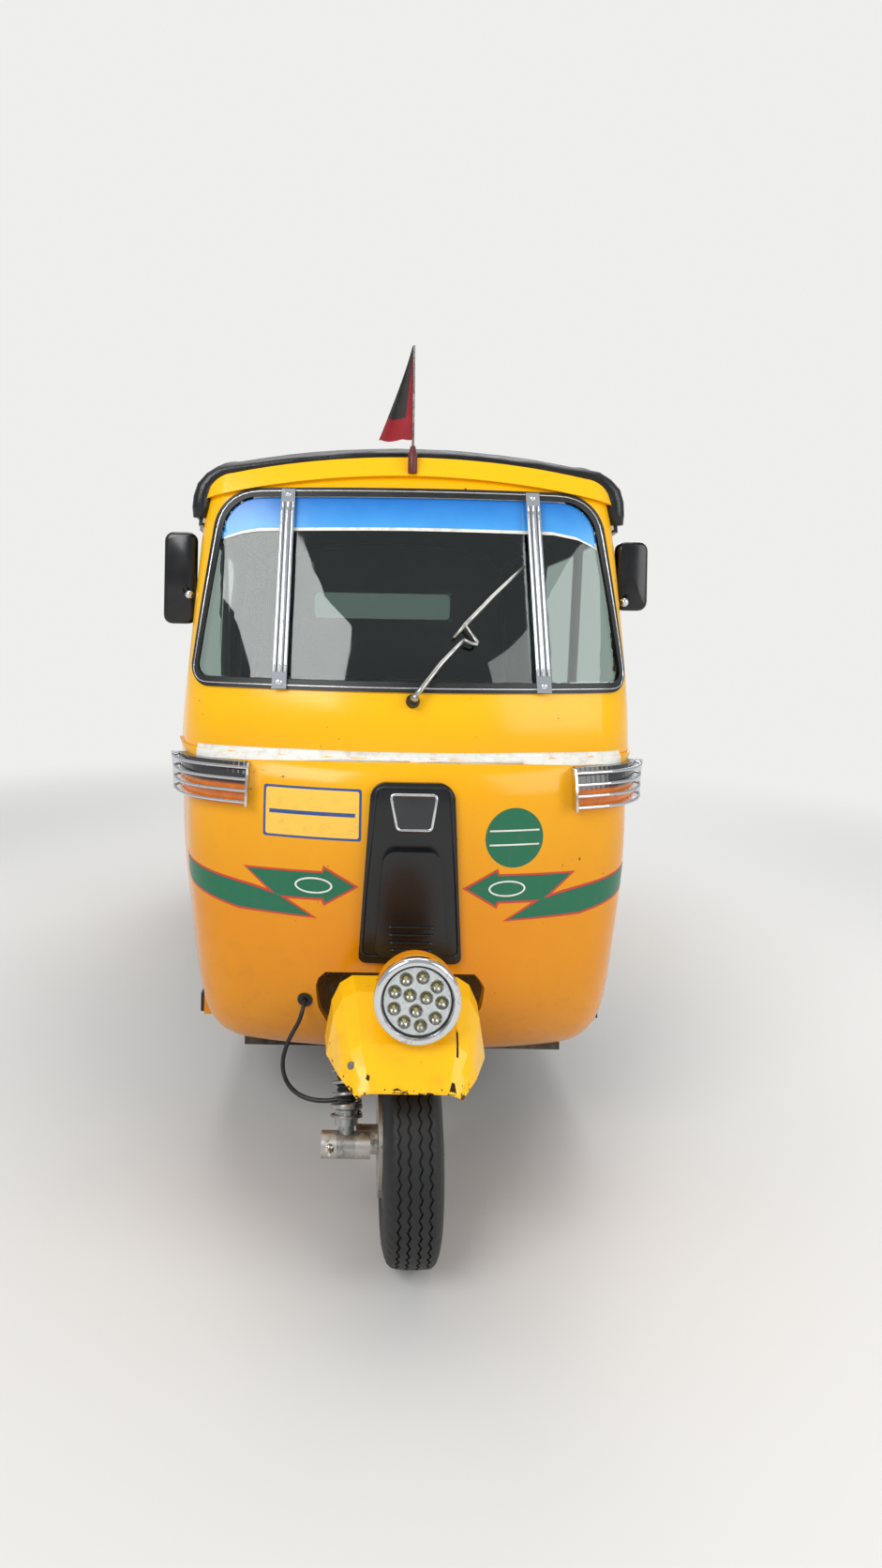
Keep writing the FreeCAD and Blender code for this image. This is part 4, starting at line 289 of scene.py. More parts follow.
def foil(name, outline, skin, material, lift, step=8, along=1, body="chassis"):
    """A foil cut to an outline of X, Z in mm and laid on a skin, met from the front or from behind."""
    sheet = bmesh.new()
    face = sheet.faces.new([sheet.verts.new((x / 1000, 0, z / 1000)) for x, z in outline])
    bmesh.ops.triangulate(sheet, faces=[face])
    for axis in (0, 1):
        reach = [spot[axis] for spot in outline]
        cut_up(sheet, axis * 2, min(reach), max(reach), step)
    lost = []
    for corner in sheet.verts:
        spot, facing = meet(skin, corner.co.x, corner.co.z, along)
        if spot is None:
            lost.append(corner)
        else:
            corner.co = spot + (facing - Vector((0, along, 0))) * lift / 2000
    bmesh.ops.delete(sheet, geom=lost, context="VERTS")
    bmesh.ops.recalc_face_normals(sheet, faces=sheet.faces[:])
    if sum(face.normal.y * face.calc_area() for face in sheet.faces) * along > 0:
        bmesh.ops.reverse_faces(sheet, faces=sheet.faces[:])
    return place(name, made(sheet, name), material, body)


def foil_finish(name, colour, worn_colour, worn):
    """Vinyl foil: satin, with scuffs 3 to 20 mm long that are worn lighter or darker."""
    material, node, shader = surface(name)
    scuff = blots(node, 0.02, 0.5, 0.75, 0, worn, 8, 0.7)
    tint = node("Mix", {0: scuff, 6: colour, 7: worn_colour}, data_type="RGBA")
    dull = node("Math", [scuff, 0.3, 0.32], operation="MULTIPLY_ADD")
    feed(shader, {"Base Color": tint, "Roughness": dull})
    return material


def arc(x, z, radius, start, end, steps, tall=1):
    """Points on a round corner, in degrees from +X, or on a flattened one."""
    turns = [radians(start + (end - start) * k / steps) for k in range(steps + 1)]
    return [(x + radius * cos(turn), z + radius * tall * sin(turn)) for turn in turns]


def rounded_box(x0, z0, x1, z1, radius):
    """The outline of a box with round corners."""
    middles = ((x1 - radius, z1 - radius), (x0 + radius, z1 - radius), (x0 + radius, z0 + radius),
               (x1 - radius, z0 + radius))
    return [spot for k, (x, z) in enumerate(middles) for spot in arc(x, z, radius, 90 * k, 90 * k + 90, 4)]


def plain_box(x0, z0, x1, z1):
    """The outline of a box with sharp corners."""
    return [(x0, z0), (x1, z0), (x1, z1), (x0, z1)]


nose_skin = skin_of("nose_shell", "windscreen_frame")
white_foil = foil_finish("white_vinyl_foil", "#E4E2DA", "#A08A62", 0.55)
green_foil = foil_finish("green_vinyl_foil", "#0A6646", "#4E6A44", 0.35)
red_foil = foil_finish("red_vinyl_foil", "#C23A2C", "#A86A3A", 0.35)
blue_foil = foil_finish("blue_vinyl_foil", "#274A8C", "#6A6A66", 0.35)
plate_foil = foil_finish("pale_yellow_plate_foil", "#F3C24A", "#C79A3A", 0.4)

BELT = [
    # X, lower and upper edge
    (-478, 940, 966), (-360, 943, 968), (-240, 948, 970), (-120, 951, 970), (0, 952, 970),
    (120, 951, 970), (240, 948, 970), (360, 943, 968), (478, 940, 966),
]
belt = [(x, high) for x, low, high in BELT] + [(x, low) for x, low, high in BELT[::-1]]
foil("belt_strip", belt, nose_skin, white_foil, 0.7)

for index, (margin, finish, lift) in enumerate(((0, blue_foil, 0.5), (5, plate_foil, 0.9))):
    foil(f"plate_field_{index}", rounded_box(-313 + margin, 790 + margin, -105 - margin, 898 - margin, 5),
        nose_skin, finish, lift)
foil("plate_bar", plain_box(-300, 840, -118, 848), nose_skin, blue_foil, 1.2)

foil("permit_mark", arc(217, 799, 63, 0, 352.5, 47), nose_skin, green_foil, 0.5)
for index, height in enumerate((813, 783)):
    foil(f"permit_line_{index}", plain_box(163, height, 271, height + 3.5), nose_skin, white_foil, 0.9)

ARROW = [(-346, 717), (-184, 719), (-180, 728), (-117, 694), (-178, 657), (-182, 666), (-281, 665)]
STRIPE = [(-500, 708), (-400, 690), (-327, 677), (-277, 665), (-207, 627), (-366, 632), (-453, 652), (-500, 664)]
ARROW_EDGE = [(-356, 721), (-186, 723), (-183, 735), (-108, 694), (-181, 650), (-186, 661), (-283, 660)]
STRIPE_EDGE = [(-505, 713), (-400, 695), (-326, 682), (-272, 668), (-194, 623), (-366, 627), (-453, 647), (-505, 659)]
STRIPES = ((STRIPE_EDGE, red_foil, 0.4), (ARROW_EDGE, red_foil, 0.5), (STRIPE, green_foil, 0.9),
    (ARROW, green_foil, 1))
for side, word in ((1, "right"), (-1, "left")):
    for index, (outline, finish, lift) in enumerate(STRIPES):
        foil(f"stripe_{word}_{index}", [(side * x, z) for x, z in outline], nose_skin, finish, lift)
    for index, (half, tall, finish, lift) in enumerate(((40, 17, white_foil, 1.3), (36, 13.5, green_foil, 1.6))):
        oval = arc(-203, 692, half, 0, 350, 35, tall / half)
        foil(f"oval_{word}_{index}", [(side * x, z) for x, z in oval], nose_skin, finish, lift)


# Nose panel: a black moulded plastic cover over the middle of the nose, with a raised boss that has
# pressed ribs at its foot, and a bright trapezoid badge with a blank dark face. The plastic is satin
# with a fine grain, greyer where dust lies.
def moulding(name, colour, dusty, roughness, grain_mm, grain_height, dust=0.5):
    """Moulded plastic, rubber or paint in one dark colour, with grain and a film of dust on top."""
    material, node, shader = surface(name)
    facing = node("SeparateXYZ", [node("NewGeometry", out="Normal")], 2)
    upward = node("MapRange", [facing, 0.1, 1, 0.25])
    film = blots(node, 0.05, 0.42, 0.75, 0, dust, 7, 0.62)
    film = node("Math", [film, upward], operation="MULTIPLY")
    tint = node("Mix", {0: film, 6: colour, 7: dusty}, data_type="RGBA")
    dull = node("Math", [film, 0.5, roughness], operation="MULTIPLY_ADD")
    grain = node("TexNoise", {"Scale": 1000 / grain_mm, "Detail": 2})
    bump = node("Bump", {"Height": grain, "Strength": 0.6, "Distance": grain_height / 1000})
    feed(shader, {"Base Color": tint, "Roughness": dull, "Normal": bump})
    return material


def metal(name, colour, stain, roughness, stain_share, streak_mm, streak_height):
    """Bare or plated metal with stains in blots and fine marks from its making."""
    material, node, shader = surface(name)
    stained = blots(node, 0.018, 0.62 - 0.3 * stain_share, 0.8 - 0.25 * stain_share, 0, 0.95, 7, 0.68)
    tint = node("Mix", {0: stained, 6: colour, 7: stain}, data_type="RGBA")
    bare = node("MapRange", [stained, 0, 1, 1, 0.15])
    dull = node("Math", [stained, 0.5, roughness], operation="MULTIPLY_ADD")
    marks = node("TexNoise", {"Scale": 1000 / streak_mm, "Detail": 3})
    bump = node("Bump", {"Height": marks, "Strength": 0.5, "Distance": streak_height / 1000})
    feed(shader, {"Base Color": tint, "Metallic": bare, "Roughness": dull, "Normal": bump})
    return material


black_abs = moulding("black_abs_moulding", "#101113", "#5A564E", 0.24, 1.6, 0.1, 0.12)
finish_nodes(black_abs, "nose_panel", "dash_shelf", "instrument_nacelle")
chrome = metal("chrome_plating", "#D9DADC", "#5C4E3E", 0.1, 0.15, 3, 0.03)


def around(side, up, radius, count):
    """Points round a circle between two directions square to each other."""
    turns = [2 * pi * k / count for k in range(count)]
    return [(side * cos(turn) + up * sin(turn)) * radius for turn in turns]


def tube(name, spots, radii, material, body="chassis", closed=False, sides=10, stands_for=()):
    """A round bar or bead through a row of points in metres, with one radius or one for each point."""
    spots = [Vector(spot) for spot in spots]
    radii = radii if isinstance(radii, list) else [radii] * len(spots)
    count = len(spots)
    rings, side = [], None
    bar = bmesh.new()
    for index, spot in enumerate(spots):
        before = spots[index - 1] if index or closed else spot
        after = spots[(index + 1) % count] if index < count - 1 or closed else spot
        run = (after - before).normalized()
        side = run.orthogonal().normalized() if side is None else (side - run * side.dot(run)).normalized()
        rings.append([bar.verts.new(spot + way) for way in around(side, run.cross(side), radii[index], sides)])
    for index in range(count if closed else count - 1):
        first, second = rings[index], rings[(index + 1) % count]
        turn = min(range(sides), key=lambda k: (first[0].co - second[k].co).length) if index == count - 1 else 0
        for k in range(sides):
            bar.faces.new((first[k], first[(k + 1) % sides], second[(k + 1 + turn) % sides],
                           second[(k + turn) % sides]))
    if not closed:
        bar.faces.new(rings[0][::-1])
        bar.faces.new(rings[-1])
    bmesh.ops.recalc_face_normals(bar, faces=bar.faces[:])
    return place(name, made(bar, name), material, body, stands_for)


def band(work, first, second, open_ends=0):
    """Faces between two rings of points, or between two rows with open ends."""
    for k in range(len(first) - open_ends):
        after = (k + 1) % len(first)
        work.faces.new((first[k], first[after], second[after], second[k]))


def lathe(name, profile, centre, material, body="chassis", steps=64, stands_for=(), axis=(0, 1, 0)):
    """A turned piece: its profile is radius and distance along an axis, in mm, from a centre in metres."""
    axis = Vector(axis).normalized()
    side = axis.orthogonal().normalized()
    turned = bmesh.new()
    rings = []
    for radius, along in profile:
        ways = around(side, axis.cross(side), max(radius, 0.01) / 1000, steps)
        rings.append([turned.verts.new(Vector(centre) + axis * along / 1000 + way) for way in ways])
    for first, second in zip(rings, rings[1:]):
        band(turned, first, second)
    bmesh.ops.remove_doubles(turned, verts=turned.verts[:], dist=0.00003)
    bmesh.ops.recalc_face_normals(turned, faces=turned.faces[:])
    return place(name, made(turned, name, 38), material, body, stands_for)


panel_skin = skin_of("nose_panel")
badge_face = moulding("dark_grey_badge_enamel", "#2B2C2F", "#77736B", 0.22, 2, 0.03, 0.25)
BADGE = [(50, 892), (-46, 892), (-31, 820), (39, 820)]


def eased(corners, radius, steps=4):
    """An outline with its corners rounded by quadratic arcs, of one radius or one for each corner."""
    radii = radius if isinstance(radius, tuple) else [radius] * len(corners)
    rounded = []
    for index, corner in enumerate(corners):
        here = Vector(corner)
        start, end = (here + (Vector(other) - here).normalized() * radii[index]
                      for other in (corners[index - 1], corners[(index + 1) % len(corners)]))
        rounded += [tuple(start * (1 - t) ** 2 + here * 2 * t * (1 - t) + end * t ** 2)
                    for t in (k / steps for k in range(steps + 1))]
    return rounded


def bead(name, outline, skin, radius, lift, material, closed=True, step=7, body="chassis", along=1):
    """A bead laid on a skin along an outline of X, Z in mm, met from the front, or from behind with -1."""
    spots = []
    for (x0, z0), (x1, z1) in zip(outline, outline[1:] + outline[:1] if closed else outline[1:]):
        parts = max(1, int(dist((x0, z0), (x1, z1)) / step))
        spots += [(x0 + (x1 - x0) * k / parts, z0 + (z1 - z0) * k / parts) for k in range(parts)]
    if not closed:
        spots.append(outline[-1])
    met = [meet(skin, x / 1000, z / 1000, along)[0] for x, z in spots]
    laid = [spot - Vector((0, along * lift / 1000, 0)) for spot in met if spot is not None]
    if len(laid) > 2:
        tube(name, laid, radius / 1000, material, body, closed, 8)


foil("badge_face", eased(BADGE, 9), panel_skin, badge_face, 2)
bead("badge_rim", eased(BADGE, 9), panel_skin, 3.4, 1.6, chrome)
for index, height in enumerate((624, 608, 592, 577)):
    half = 47 - index * 1.5
    bead(f"panel_rib_{index}", [(-half, height), (half, height)], panel_skin, 3, 0.8, black_abs, closed=False)
bead("panel_border", eased([(-76, 905), (78, 905), (93, 700), (101, 556), (-101, 556), (-93, 700)], 16), panel_skin,
    3.5, 0.3, black_abs)


# Windscreen: a black rubber seal with a bright filler strip in its groove holds one curved pane of
# slightly green laminated glass. Inside its top edge sits a blue sun strip with white borders.
seal_rubber = moulding("black_epdm_seal_rubber", "#0B0B0C", "#5A554D", 0.42, 2.2, 0.1, 0.4)
finish_nodes(seal_rubber, "windscreen_seal", "cable_grommet", "sill_rubbers", "handle_grips")
seal_skin = skin_of("windscreen_seal")


def screen_outline(margin):
    """The pane's rounded outline, inside the seal's outer edge by a margin."""
    low, high = 1096 + margin, 1566 - margin
    corners = [(458 - margin, high), (-458 + margin, high), (-512 + margin, low), (512 - margin, low)]
    return eased(corners, (105 - margin, 105 - margin, 48 - margin / 2, 48 - margin / 2), 7)


filler = metal("bright_filler_strip", "#C9CBCC", "#4A4640", 0.22, 0.2, 4, 0.02)
bead("seal_filler", screen_outline(9), seal_skin, 1.7, 0.5, filler, step=9)


def dulled(name, looks, *blotting):
    """Glass, clear plastic or silvering, dulled in blots by smears, dust or scratches."""
    material, node, shader = surface(name)
    feed(shader, {"Roughness": blots(node, *blotting), **looks})
    return material


clear_green = {"Base Color": "#93A39D", "Transmission Weight": 1, "IOR": 1.5}
pane_glass = dulled("green_laminated_glass", clear_green, 0.09, 0.5, 0.8, 0.015, 0.07, 6)
finish_nodes(pane_glass, "windscreen_glass", "rear_window")

glass_skin = skin_of("windscreen_glass")
sun_blue, node, shader = surface("blue_sun_strip_film")
height = node("SeparateXYZ", [node("TexCoord", out="Object")], 2)
mottle = node("TexNoise", {"Scale": 1 / 0.05, "Detail": 5})
fall = node("Math", [mottle, 0.035, height], operation="MULTIPLY_ADD")
tone = node("MapRange", [fall, 1.46, 1.56])
tint = node("Mix", {0: tone, 6: "#4FA8E8", 7: "#1C6FC4"}, data_type="RGBA")
feed(shader, {"Base Color": tint, "Roughness": 0.18})
STRIP_LOW = [(-466, 1424), (-440, 1440), (-400, 1452), (-361, 1458), (0, 1461), (340, 1460), (400, 1450),
    (440, 1432), (462, 1412)]
inside = screen_outline(17)
STRIP_TOP = sorted([point for point in inside if point[1] > 1446], key=lambda point: -point[0])
foil("sun_strip_border", STRIP_LOW + STRIP_TOP, glass_skin, white_foil, 0.5, 12)
foil("sun_strip", [(x * 0.985, z + 8) for x, z in STRIP_LOW] + [(x * 0.985, z - 7) for x, z in STRIP_TOP],
    glass_skin, sun_blue, 1, 12)


# Screen bars and wiper: two bright extruded aluminium bars stand over the glass, clamped to the frame
# above and below, and a single wiper arm of plated spring steel on a rubber boot reaches over it.
bar_metal = metal("bright_aluminium_extrusion", "#E2E4E6", "#77736C", 0.12, 0.1, 2, 0.02)
# Dark lines laid between the bright ridges of each bar: dirt in the flutes, and painted shade of grooves that are not
# cut
groove_shade_and_dirt = moulding("dirt_and_painted_shade_in_the_grooves", "#3A3A3A", "#6A6458", 0.5, 2, 0.05, 0.4)
finish_nodes(bar_metal, "screen_bars")
wiper_steel = metal("zinc_plated_spring_steel", "#B9B7B0", "#4E4A44", 0.28, 0.3, 2.5, 0.04)
bars_skin = skin_of("screen_bars")
BAR_AT = 289  # mm, of each bar's middle from the middle of the screen
FLUTES = ((-12, 2.6, bar_metal), (-7, 1.2, groove_shade_and_dirt), (0, 3.4, bar_metal), (7, 1.2, groove_shade_and_dirt),
    (12, 2.6, bar_metal))
for side, word in ((1, "left"), (-1, "right")):
    for index, (offset, width, finish) in enumerate(FLUTES):
        x = side * BAR_AT + offset
        bead(f"bar_flute_{word}_{index}", [(x, 1134), (x, 1526)], bars_skin, width, 0.2, finish, False, 20)
    for index, height in enumerate((1112, 1546)):
        spot = meet(bars_skin, side * BAR_AT / 1000, height / 1000)[0]
        lathe(f"bar_screw_{word}_{index}", [(0, -3.2), (3, -3), (5.6, -1.4), (6.2, 0.5)], spot, chrome, steps=20)
lathe("wiper_boot", [(0, -22), (8, -22), (9, -14), (13, -8), (15, -2), (15, 4)], (0.001, -1.0045, 1.078),
    seal_rubber, steps=28, stands_for=("wiper",))
lathe("wiper_cap", [(0, -34), (4, -33.5), (7, -30), (8.5, -24), (8.5, -18), (0, -18)], (0.003, -1.0005, 1.086),
    wiper_steel, steps=24)
tube("wiper_arm", [(0.003, -1.026, 1.088), (0.018, -1.02, 1.107), (0.062, -0.992, 1.16), (0.1, -0.97, 1.198),
    (0.113, -0.964, 1.211)], [0.0055, 0.006, 0.0052, 0.004, 0.0034], wiper_steel)
tube("wiper_link", [(0.113, -0.966, 1.211), (0.121, -0.968, 1.207), (0.13, -0.968, 1.203), (0.141, -0.966, 1.202),
    (0.144, -0.962, 1.206), (0.131, -0.955, 1.224), (0.117, -0.948, 1.243)],
    [0.0036] * 3 + [0.004, 0.0036, 0.003, 0.0034], wiper_steel)
BLADE = [(0.092, -0.957, 1.215), (0.117, -0.945, 1.243), (0.15, -0.927, 1.276), (0.184, -0.909, 1.31),
    (0.225, -0.889, 1.348), (0.263, -0.871, 1.383)]
tube("wiper_blade", BLADE, [0.003, 0.005, 0.005, 0.0046, 0.004, 0.0022], wiper_steel)
tube("wiper_rubber", [(x + 0.001, y + 0.0065, z - 0.002) for x, y, z in BLADE], 0.0022, seal_rubber)


# Indicators: a wrap-round lamp on each nose corner, amber below and smoked grey above, behind a
# guard of four chromed wires on flanges. The lenses are ribbed acrylic.
WAVE_PITCH = pi / 10  # m, between the bands of a wave texture at scale 1


def ribbed_acrylic(name, clean, murky, above, heights, rib, way, distortion, murk_size, detail, looks):
    """A ribbed lens in one colour, murky in places, and in another colour above a height."""
    material, node, shader = surface(name)
    height = node("SeparateXYZ", [node("TexCoord", out="Object")], 2)
    waves = {"Scale": WAVE_PITCH / rib, "Distortion": distortion}
    ribs = node("TexWave", waves, out="Fac", bands_direction=way)
    upper = node("MapRange", [height, *heights])
    murk = node("TexNoise", {"Scale": 1 / murk_size, "Detail": detail})
    lower = node("Mix", {0: murk, 6: clean, 7: murky}, data_type="RGBA")
    tint = node("Mix", {0: upper, 6: lower, 7: above}, data_type="RGBA")
    bump = node("Bump", {"Height": ribs, "Strength": 0.5, "Distance": 0.0006})
    feed(shader, {"Base Color": tint, "Normal": bump, **looks})
    return material


glossy = {"Roughness": 0.12, "Coat Weight": 0.6, "Coat Roughness": 0.05}
amber = ribbed_acrylic("ribbed_amber_acrylic", "#F2820A", "#B4560A", "#343233", (0.893, 0.899), 0.01184, "X", 0.3,
    0.02, 5, glossy)
finish_nodes(amber, "indicator_lamps")
finish_nodes(chrome, "indicator_guards")


# Mirrors: black moulded shells on ball stems, with silvered glass set in the back face.
mirror_shell = moulding("gloss_black_mirror_shell", "#0E0E10", "#6A645A", 0.16, 3, 0.03, 0.3)
silvering = {"Base Color": "#C9D0D2", "Metallic": 1}
silvered = dulled("silvered_mirror_glass", silvering, 0.03, 0.5, 0.8, 0.02, 0.2, 6)
SHELL_RINGS = ((2, -687.5), (0, -689.5), (0, -707), (1.4, -712), (5, -716), (10, -717.5))  # inset and Y, in mm
MIRRORS = [
    # word, side, inner and outer edge, bottom and top, in mm
    ("right", -1, 527, 607, 1236, 1466),
    ("left", 1, 527, 604, 1288, 1461),
]
for word, side, inner, outer, low, high in MIRRORS:
    shell = bmesh.new()
    rings = []
    for inset, y in SHELL_RINGS:
        outline = rounded_box(inner + inset, low + inset, outer - inset, high - inset, 22 - inset)
        rings.append([shell.verts.new((side * x / 1000, y / 1000, z / 1000)) for x, z in outline])
    for first, second in zip(rings, rings[1:]):
        band(shell, first, second)
    shell.faces.new(rings[0])
    shell.faces.new(rings[-1])
    bmesh.ops.recalc_face_normals(shell, faces=shell.faces[:])
    stands_for = ("mirrors",) if side < 0 else ()
    place(f"mirror_shell_{word}", made(shell, f"mirror_shell_{word}", 40), mirror_shell, "chassis",
        stands_for)
    glass = bmesh.new()
    outline = rounded_box(inner + 7, low + 7, outer - 7, high - 7, 14)
    rim = [glass.verts.new((side * x / 1000, -0.6872, z / 1000)) for x, z in outline]
    glass.faces.new(rim if side < 0 else rim[::-1])
    place(f"mirror_glass_{word}", made(glass, f"mirror_glass_{word}"), silvered)
    stem = [(side * 0.518, -0.7445, 1.306), (side * 0.53, -0.7445, 1.306), (side * 0.541, -0.738, 1.312),
        (side * 0.549, -0.724, 1.32)]
    tube(f"mirror_stem_{word}", stem, [0.0065, 0.006, 0.006, 0.008], mirror_shell)
    lathe(f"mirror_ball_{word}", [(0, -11), (6, -9.5), (10, -5), (11, 0), (10, 5), (6, 9.5), (0, 11)],
        (side * 0.536, -0.742, 1.308), chrome, steps=20, axis=(1, 0, 0))


# Hood: one cover of black PVC-coated cloth laced over steel hoops. It is pulled tight over the
# hoops and sags a little between them, its front edge is rolled and bunched, and white piping is
# sewn below the roll. The vinyl is glossy with a fine leather grain, dull and dusty on top.
vinyl, node, shader = surface("black_pvc_hood_cloth")
facing = node("SeparateXYZ", [node("NewGeometry", out="Normal")], 2)
grain = node("TexVoronoi", {"Scale": 1 / 0.0035})
crease = node("TexNoise", {"Scale": 1 / 0.06, "Detail": 5, "Roughness": 0.5, "Distortion": 0.2})
upward = node("MapRange", [facing, 0.2, 1])
film = node("MapRange", [crease, 0.25, 0.95])
film = node("Math", [film, upward], operation="MULTIPLY")
tint = node("Mix", {0: film, 6: "#0C0C0E", 7: "#403D39"}, data_type="RGBA")
dull = node("Math", [film, 0.6, 0.26], operation="MULTIPLY_ADD")
relief = node("Math", [crease, 4, grain], operation="MULTIPLY_ADD")
bump = node("Bump", {"Height": relief, "Strength": 0.6, "Distance": 0.0006})
feed(shader, {"Base Color": tint, "Roughness": dull, "Normal": bump})

HOOPS = [-0.6475, -0.3, 0.1, 0.5, 0.86, 1.21]
hood_cloth = bmesh.new()
hood_cloth.from_mesh(nodes["hood"].data)
low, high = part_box("hood")
for axis in range(3):
    cut_up(hood_cloth, axis, low[axis] * 1000, high[axis] * 1000, 35)
from mathutils import noise

rear_y = high[1] - 0.05
for corner in hood_cloth.verts:
    x, y, z = corner.co
    on_back = y > rear_y - 0.02 and abs(x) < 0.6
    out = Vector((0, 1, 0)) if on_back else Vector((x, 0, z - 1.25))
    tight = min(1, min(abs(y - hoop) for hoop in HOOPS) / 0.12)
    hem = min(1, max(0, (z - 0.93) / 0.1)) * min(1, max(0, (y - low[1]) / 0.06))
    sag = -0.006 * sin(tight * pi / 2)
    ripple = 0.0035 * noise.noise(Vector((x * 9, y * 14, z * 9)))
    ripple += 0.002 * noise.noise(Vector((x * 30, y * 8, z * 26)))
    corner.co += out.normalized() * (sag + ripple * (0.3 + tight)) * hem
hood_piece = place("hood_cloth", made(hood_cloth, "hood_cloth", 55), vinyl, stands_for=("hood",))

hood_skin = skin_of("hood")


def hood_line(y, low_z, inset, parts=90):
    """Points round the hood's outside at one place along it, from one lower edge to the other."""
    middle = Vector((0, y, 1.3))
    spots = []
    for k in range(parts + 1):
        angle = radians(-25 + 230 * k / parts)
        way = Vector((cos(angle), 0, sin(angle)))
        spot = hood_skin.ray_cast(middle + way * 1.5, -way)[0]
        if spot is not None and spot.z > low_z and (spot - middle).dot(way) > 0:
            spots.append(spot - way * inset)
    return spots


front = hood_line(low[1] + 0.012, 1.485, 0.004)
thick, rolled = [], []
for spot in front:
    fold = noise.noise(Vector((spot.x * 11, 3.1, spot.z * 11)))
    corner_folds = min(1, max(0, (1.63 - spot.z) / 0.06)) * min(1, max(0, (spot.z - 1.475) / 0.05))
    fine_fold = noise.noise(Vector((spot.x * 40, 0.7, spot.z * 40)))
    thick.append(0.015 + 0.0035 * fold + 0.0085 * corner_folds + 0.0015 * fine_fold)
    wander = noise.noise(Vector((spot.x * 17, 1.3, spot.z * 17)))
    rolled.append(spot + Vector((0, -0.004, 0.002 * wander)))
tube("hood_front_roll", rolled, thick, vinyl, sides=12)
second = hood_line(low[1] + 0.045, 1.485, 0.0065)
thick = [0.011 + 0.004 * noise.noise(Vector((spot.x * 8, 9, spot.z * 8))) for spot in second]
tube("hood_front_fold", second, thick, vinyl, sides=12)
piping_vinyl = moulding("white_vinyl_piping", "#CFCBBE", "#8F8672", 0.45, 3, 0.1, 0.6)
inner = [spot + Vector((-0.01 * spot.x / 0.5, -0.01, -0.0125)) for spot in front]
tube("hood_piping", inner, 0.0042, piping_vinyl, sides=8)
for index, hoop in enumerate(HOOPS[1:5]):
    seam = hood_line(hoop, 0.95, 0.0015, 120)
    tube(f"hood_seam_{index}", seam, 0.0022, vinyl, sides=6)


# Flag: a limp cotton pennant tied to a thin steel rod on the roof, black with red borders, faded
# and creased. Its foot stands in a dark red bracket.
cotton, node, shader = surface("faded_dyed_cotton")
cut_at = node("TexCoord", out="UV")
red_side = node("MapRange", [node("SeparateXYZ", [cut_at], 0), 0.29, 0.27])
red_foot = node("MapRange", [node("SeparateXYZ", [cut_at], 1), 0.24, 0.22])
red = node("Math", [red_side, red_foot], operation="MAXIMUM")
fade = node("TexNoise", {"Scale": 1 / 0.03, "Detail": 5})
red_dye = node("Mix", {0: fade, 6: "#B01522", 7: "#6E0D18"}, data_type="RGBA")
black_dye = node("Mix", {0: fade, 6: "#141216", 7: "#38302F"}, data_type="RGBA")
tint = node("Mix", {0: red, 6: black_dye, 7: red_dye}, data_type="RGBA")
threads = {"Scale": WAVE_PITCH / 0.003157}
warp, weft = (node("TexWave", threads, out="Fac", bands_direction=way) for way in "XZ")
weave = node("Math", [warp, weft], operation="MULTIPLY")
bump = node("Bump", {"Height": weave, "Strength": 0.5, "Distance": 0.0003})
feed(shader, {"Base Color": tint, "Normal": bump, "Roughness": 0.85, "Sheen Weight": 0.3})

flag_low, flag_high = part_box("flag")
flag_y = (flag_low[1] + flag_high[1]) / 2
flag_cloth = bmesh.new()
texture = flag_cloth.loops.layers.uv.new("uv")
CLOTH_TOP, CLOTH_DROP = 1.903, 0.222
rows, columns = 40, 16
grid = []
for j in range(rows + 1):
    t = j / rows  # down the hoist
    grid.append([])
    reach = 0.004 + 0.088 * t ** 1.15  # how far the cloth hangs from the rod
    for i in range(columns + 1):
        u = i / columns
        fold = 0.011 * sin(u * 9.5 + t * 2.2) * t * min(1, u * 3)
        x = 0.002 - reach * u * (0.93 + 0.07 * cos(u * 9))
        z = CLOTH_TOP - CLOTH_DROP * t * (1 + 0.02 * u)
        grid[j].append(flag_cloth.verts.new((x, flag_y + fold, z)))
for j in range(rows):
    for i in range(columns):
        corners = ((i, j), (i, j + 1), (i + 1, j + 1), (i + 1, j))
        face = flag_cloth.faces.new([grid[b][a] for a, b in corners])
        for loop, (a, b) in zip(face.loops, corners):
            loop[texture].uv = (a / columns, 1 - b / rows)
pennant = place("flag_pennant", made(flag_cloth, "flag_pennant"), cotton, stands_for=("flag",))
rod_steel = metal("rusty_steel_rod", "#8C8A86", "#5A3A28", 0.4, 0.5, 2, 0.05)
tube("flag_rod", [(0.004, flag_y, 1.602), (0.004, flag_y, 1.75), (0.003, flag_y, 1.905)], 0.003, rod_steel)
bracket_paint = moulding("dark_red_bracket_paint", "#5E1418", "#6E5A50", 0.4, 3, 0.1, 0.5)
lathe("flag_bracket", [(0, -32), (10, -32), (11, -29), (11, 14), (9, 17), (6, 32), (0, 32)], (0.004, flag_y, 1.634),
    bracket_paint, steps=18, axis=(0, 0, 1))


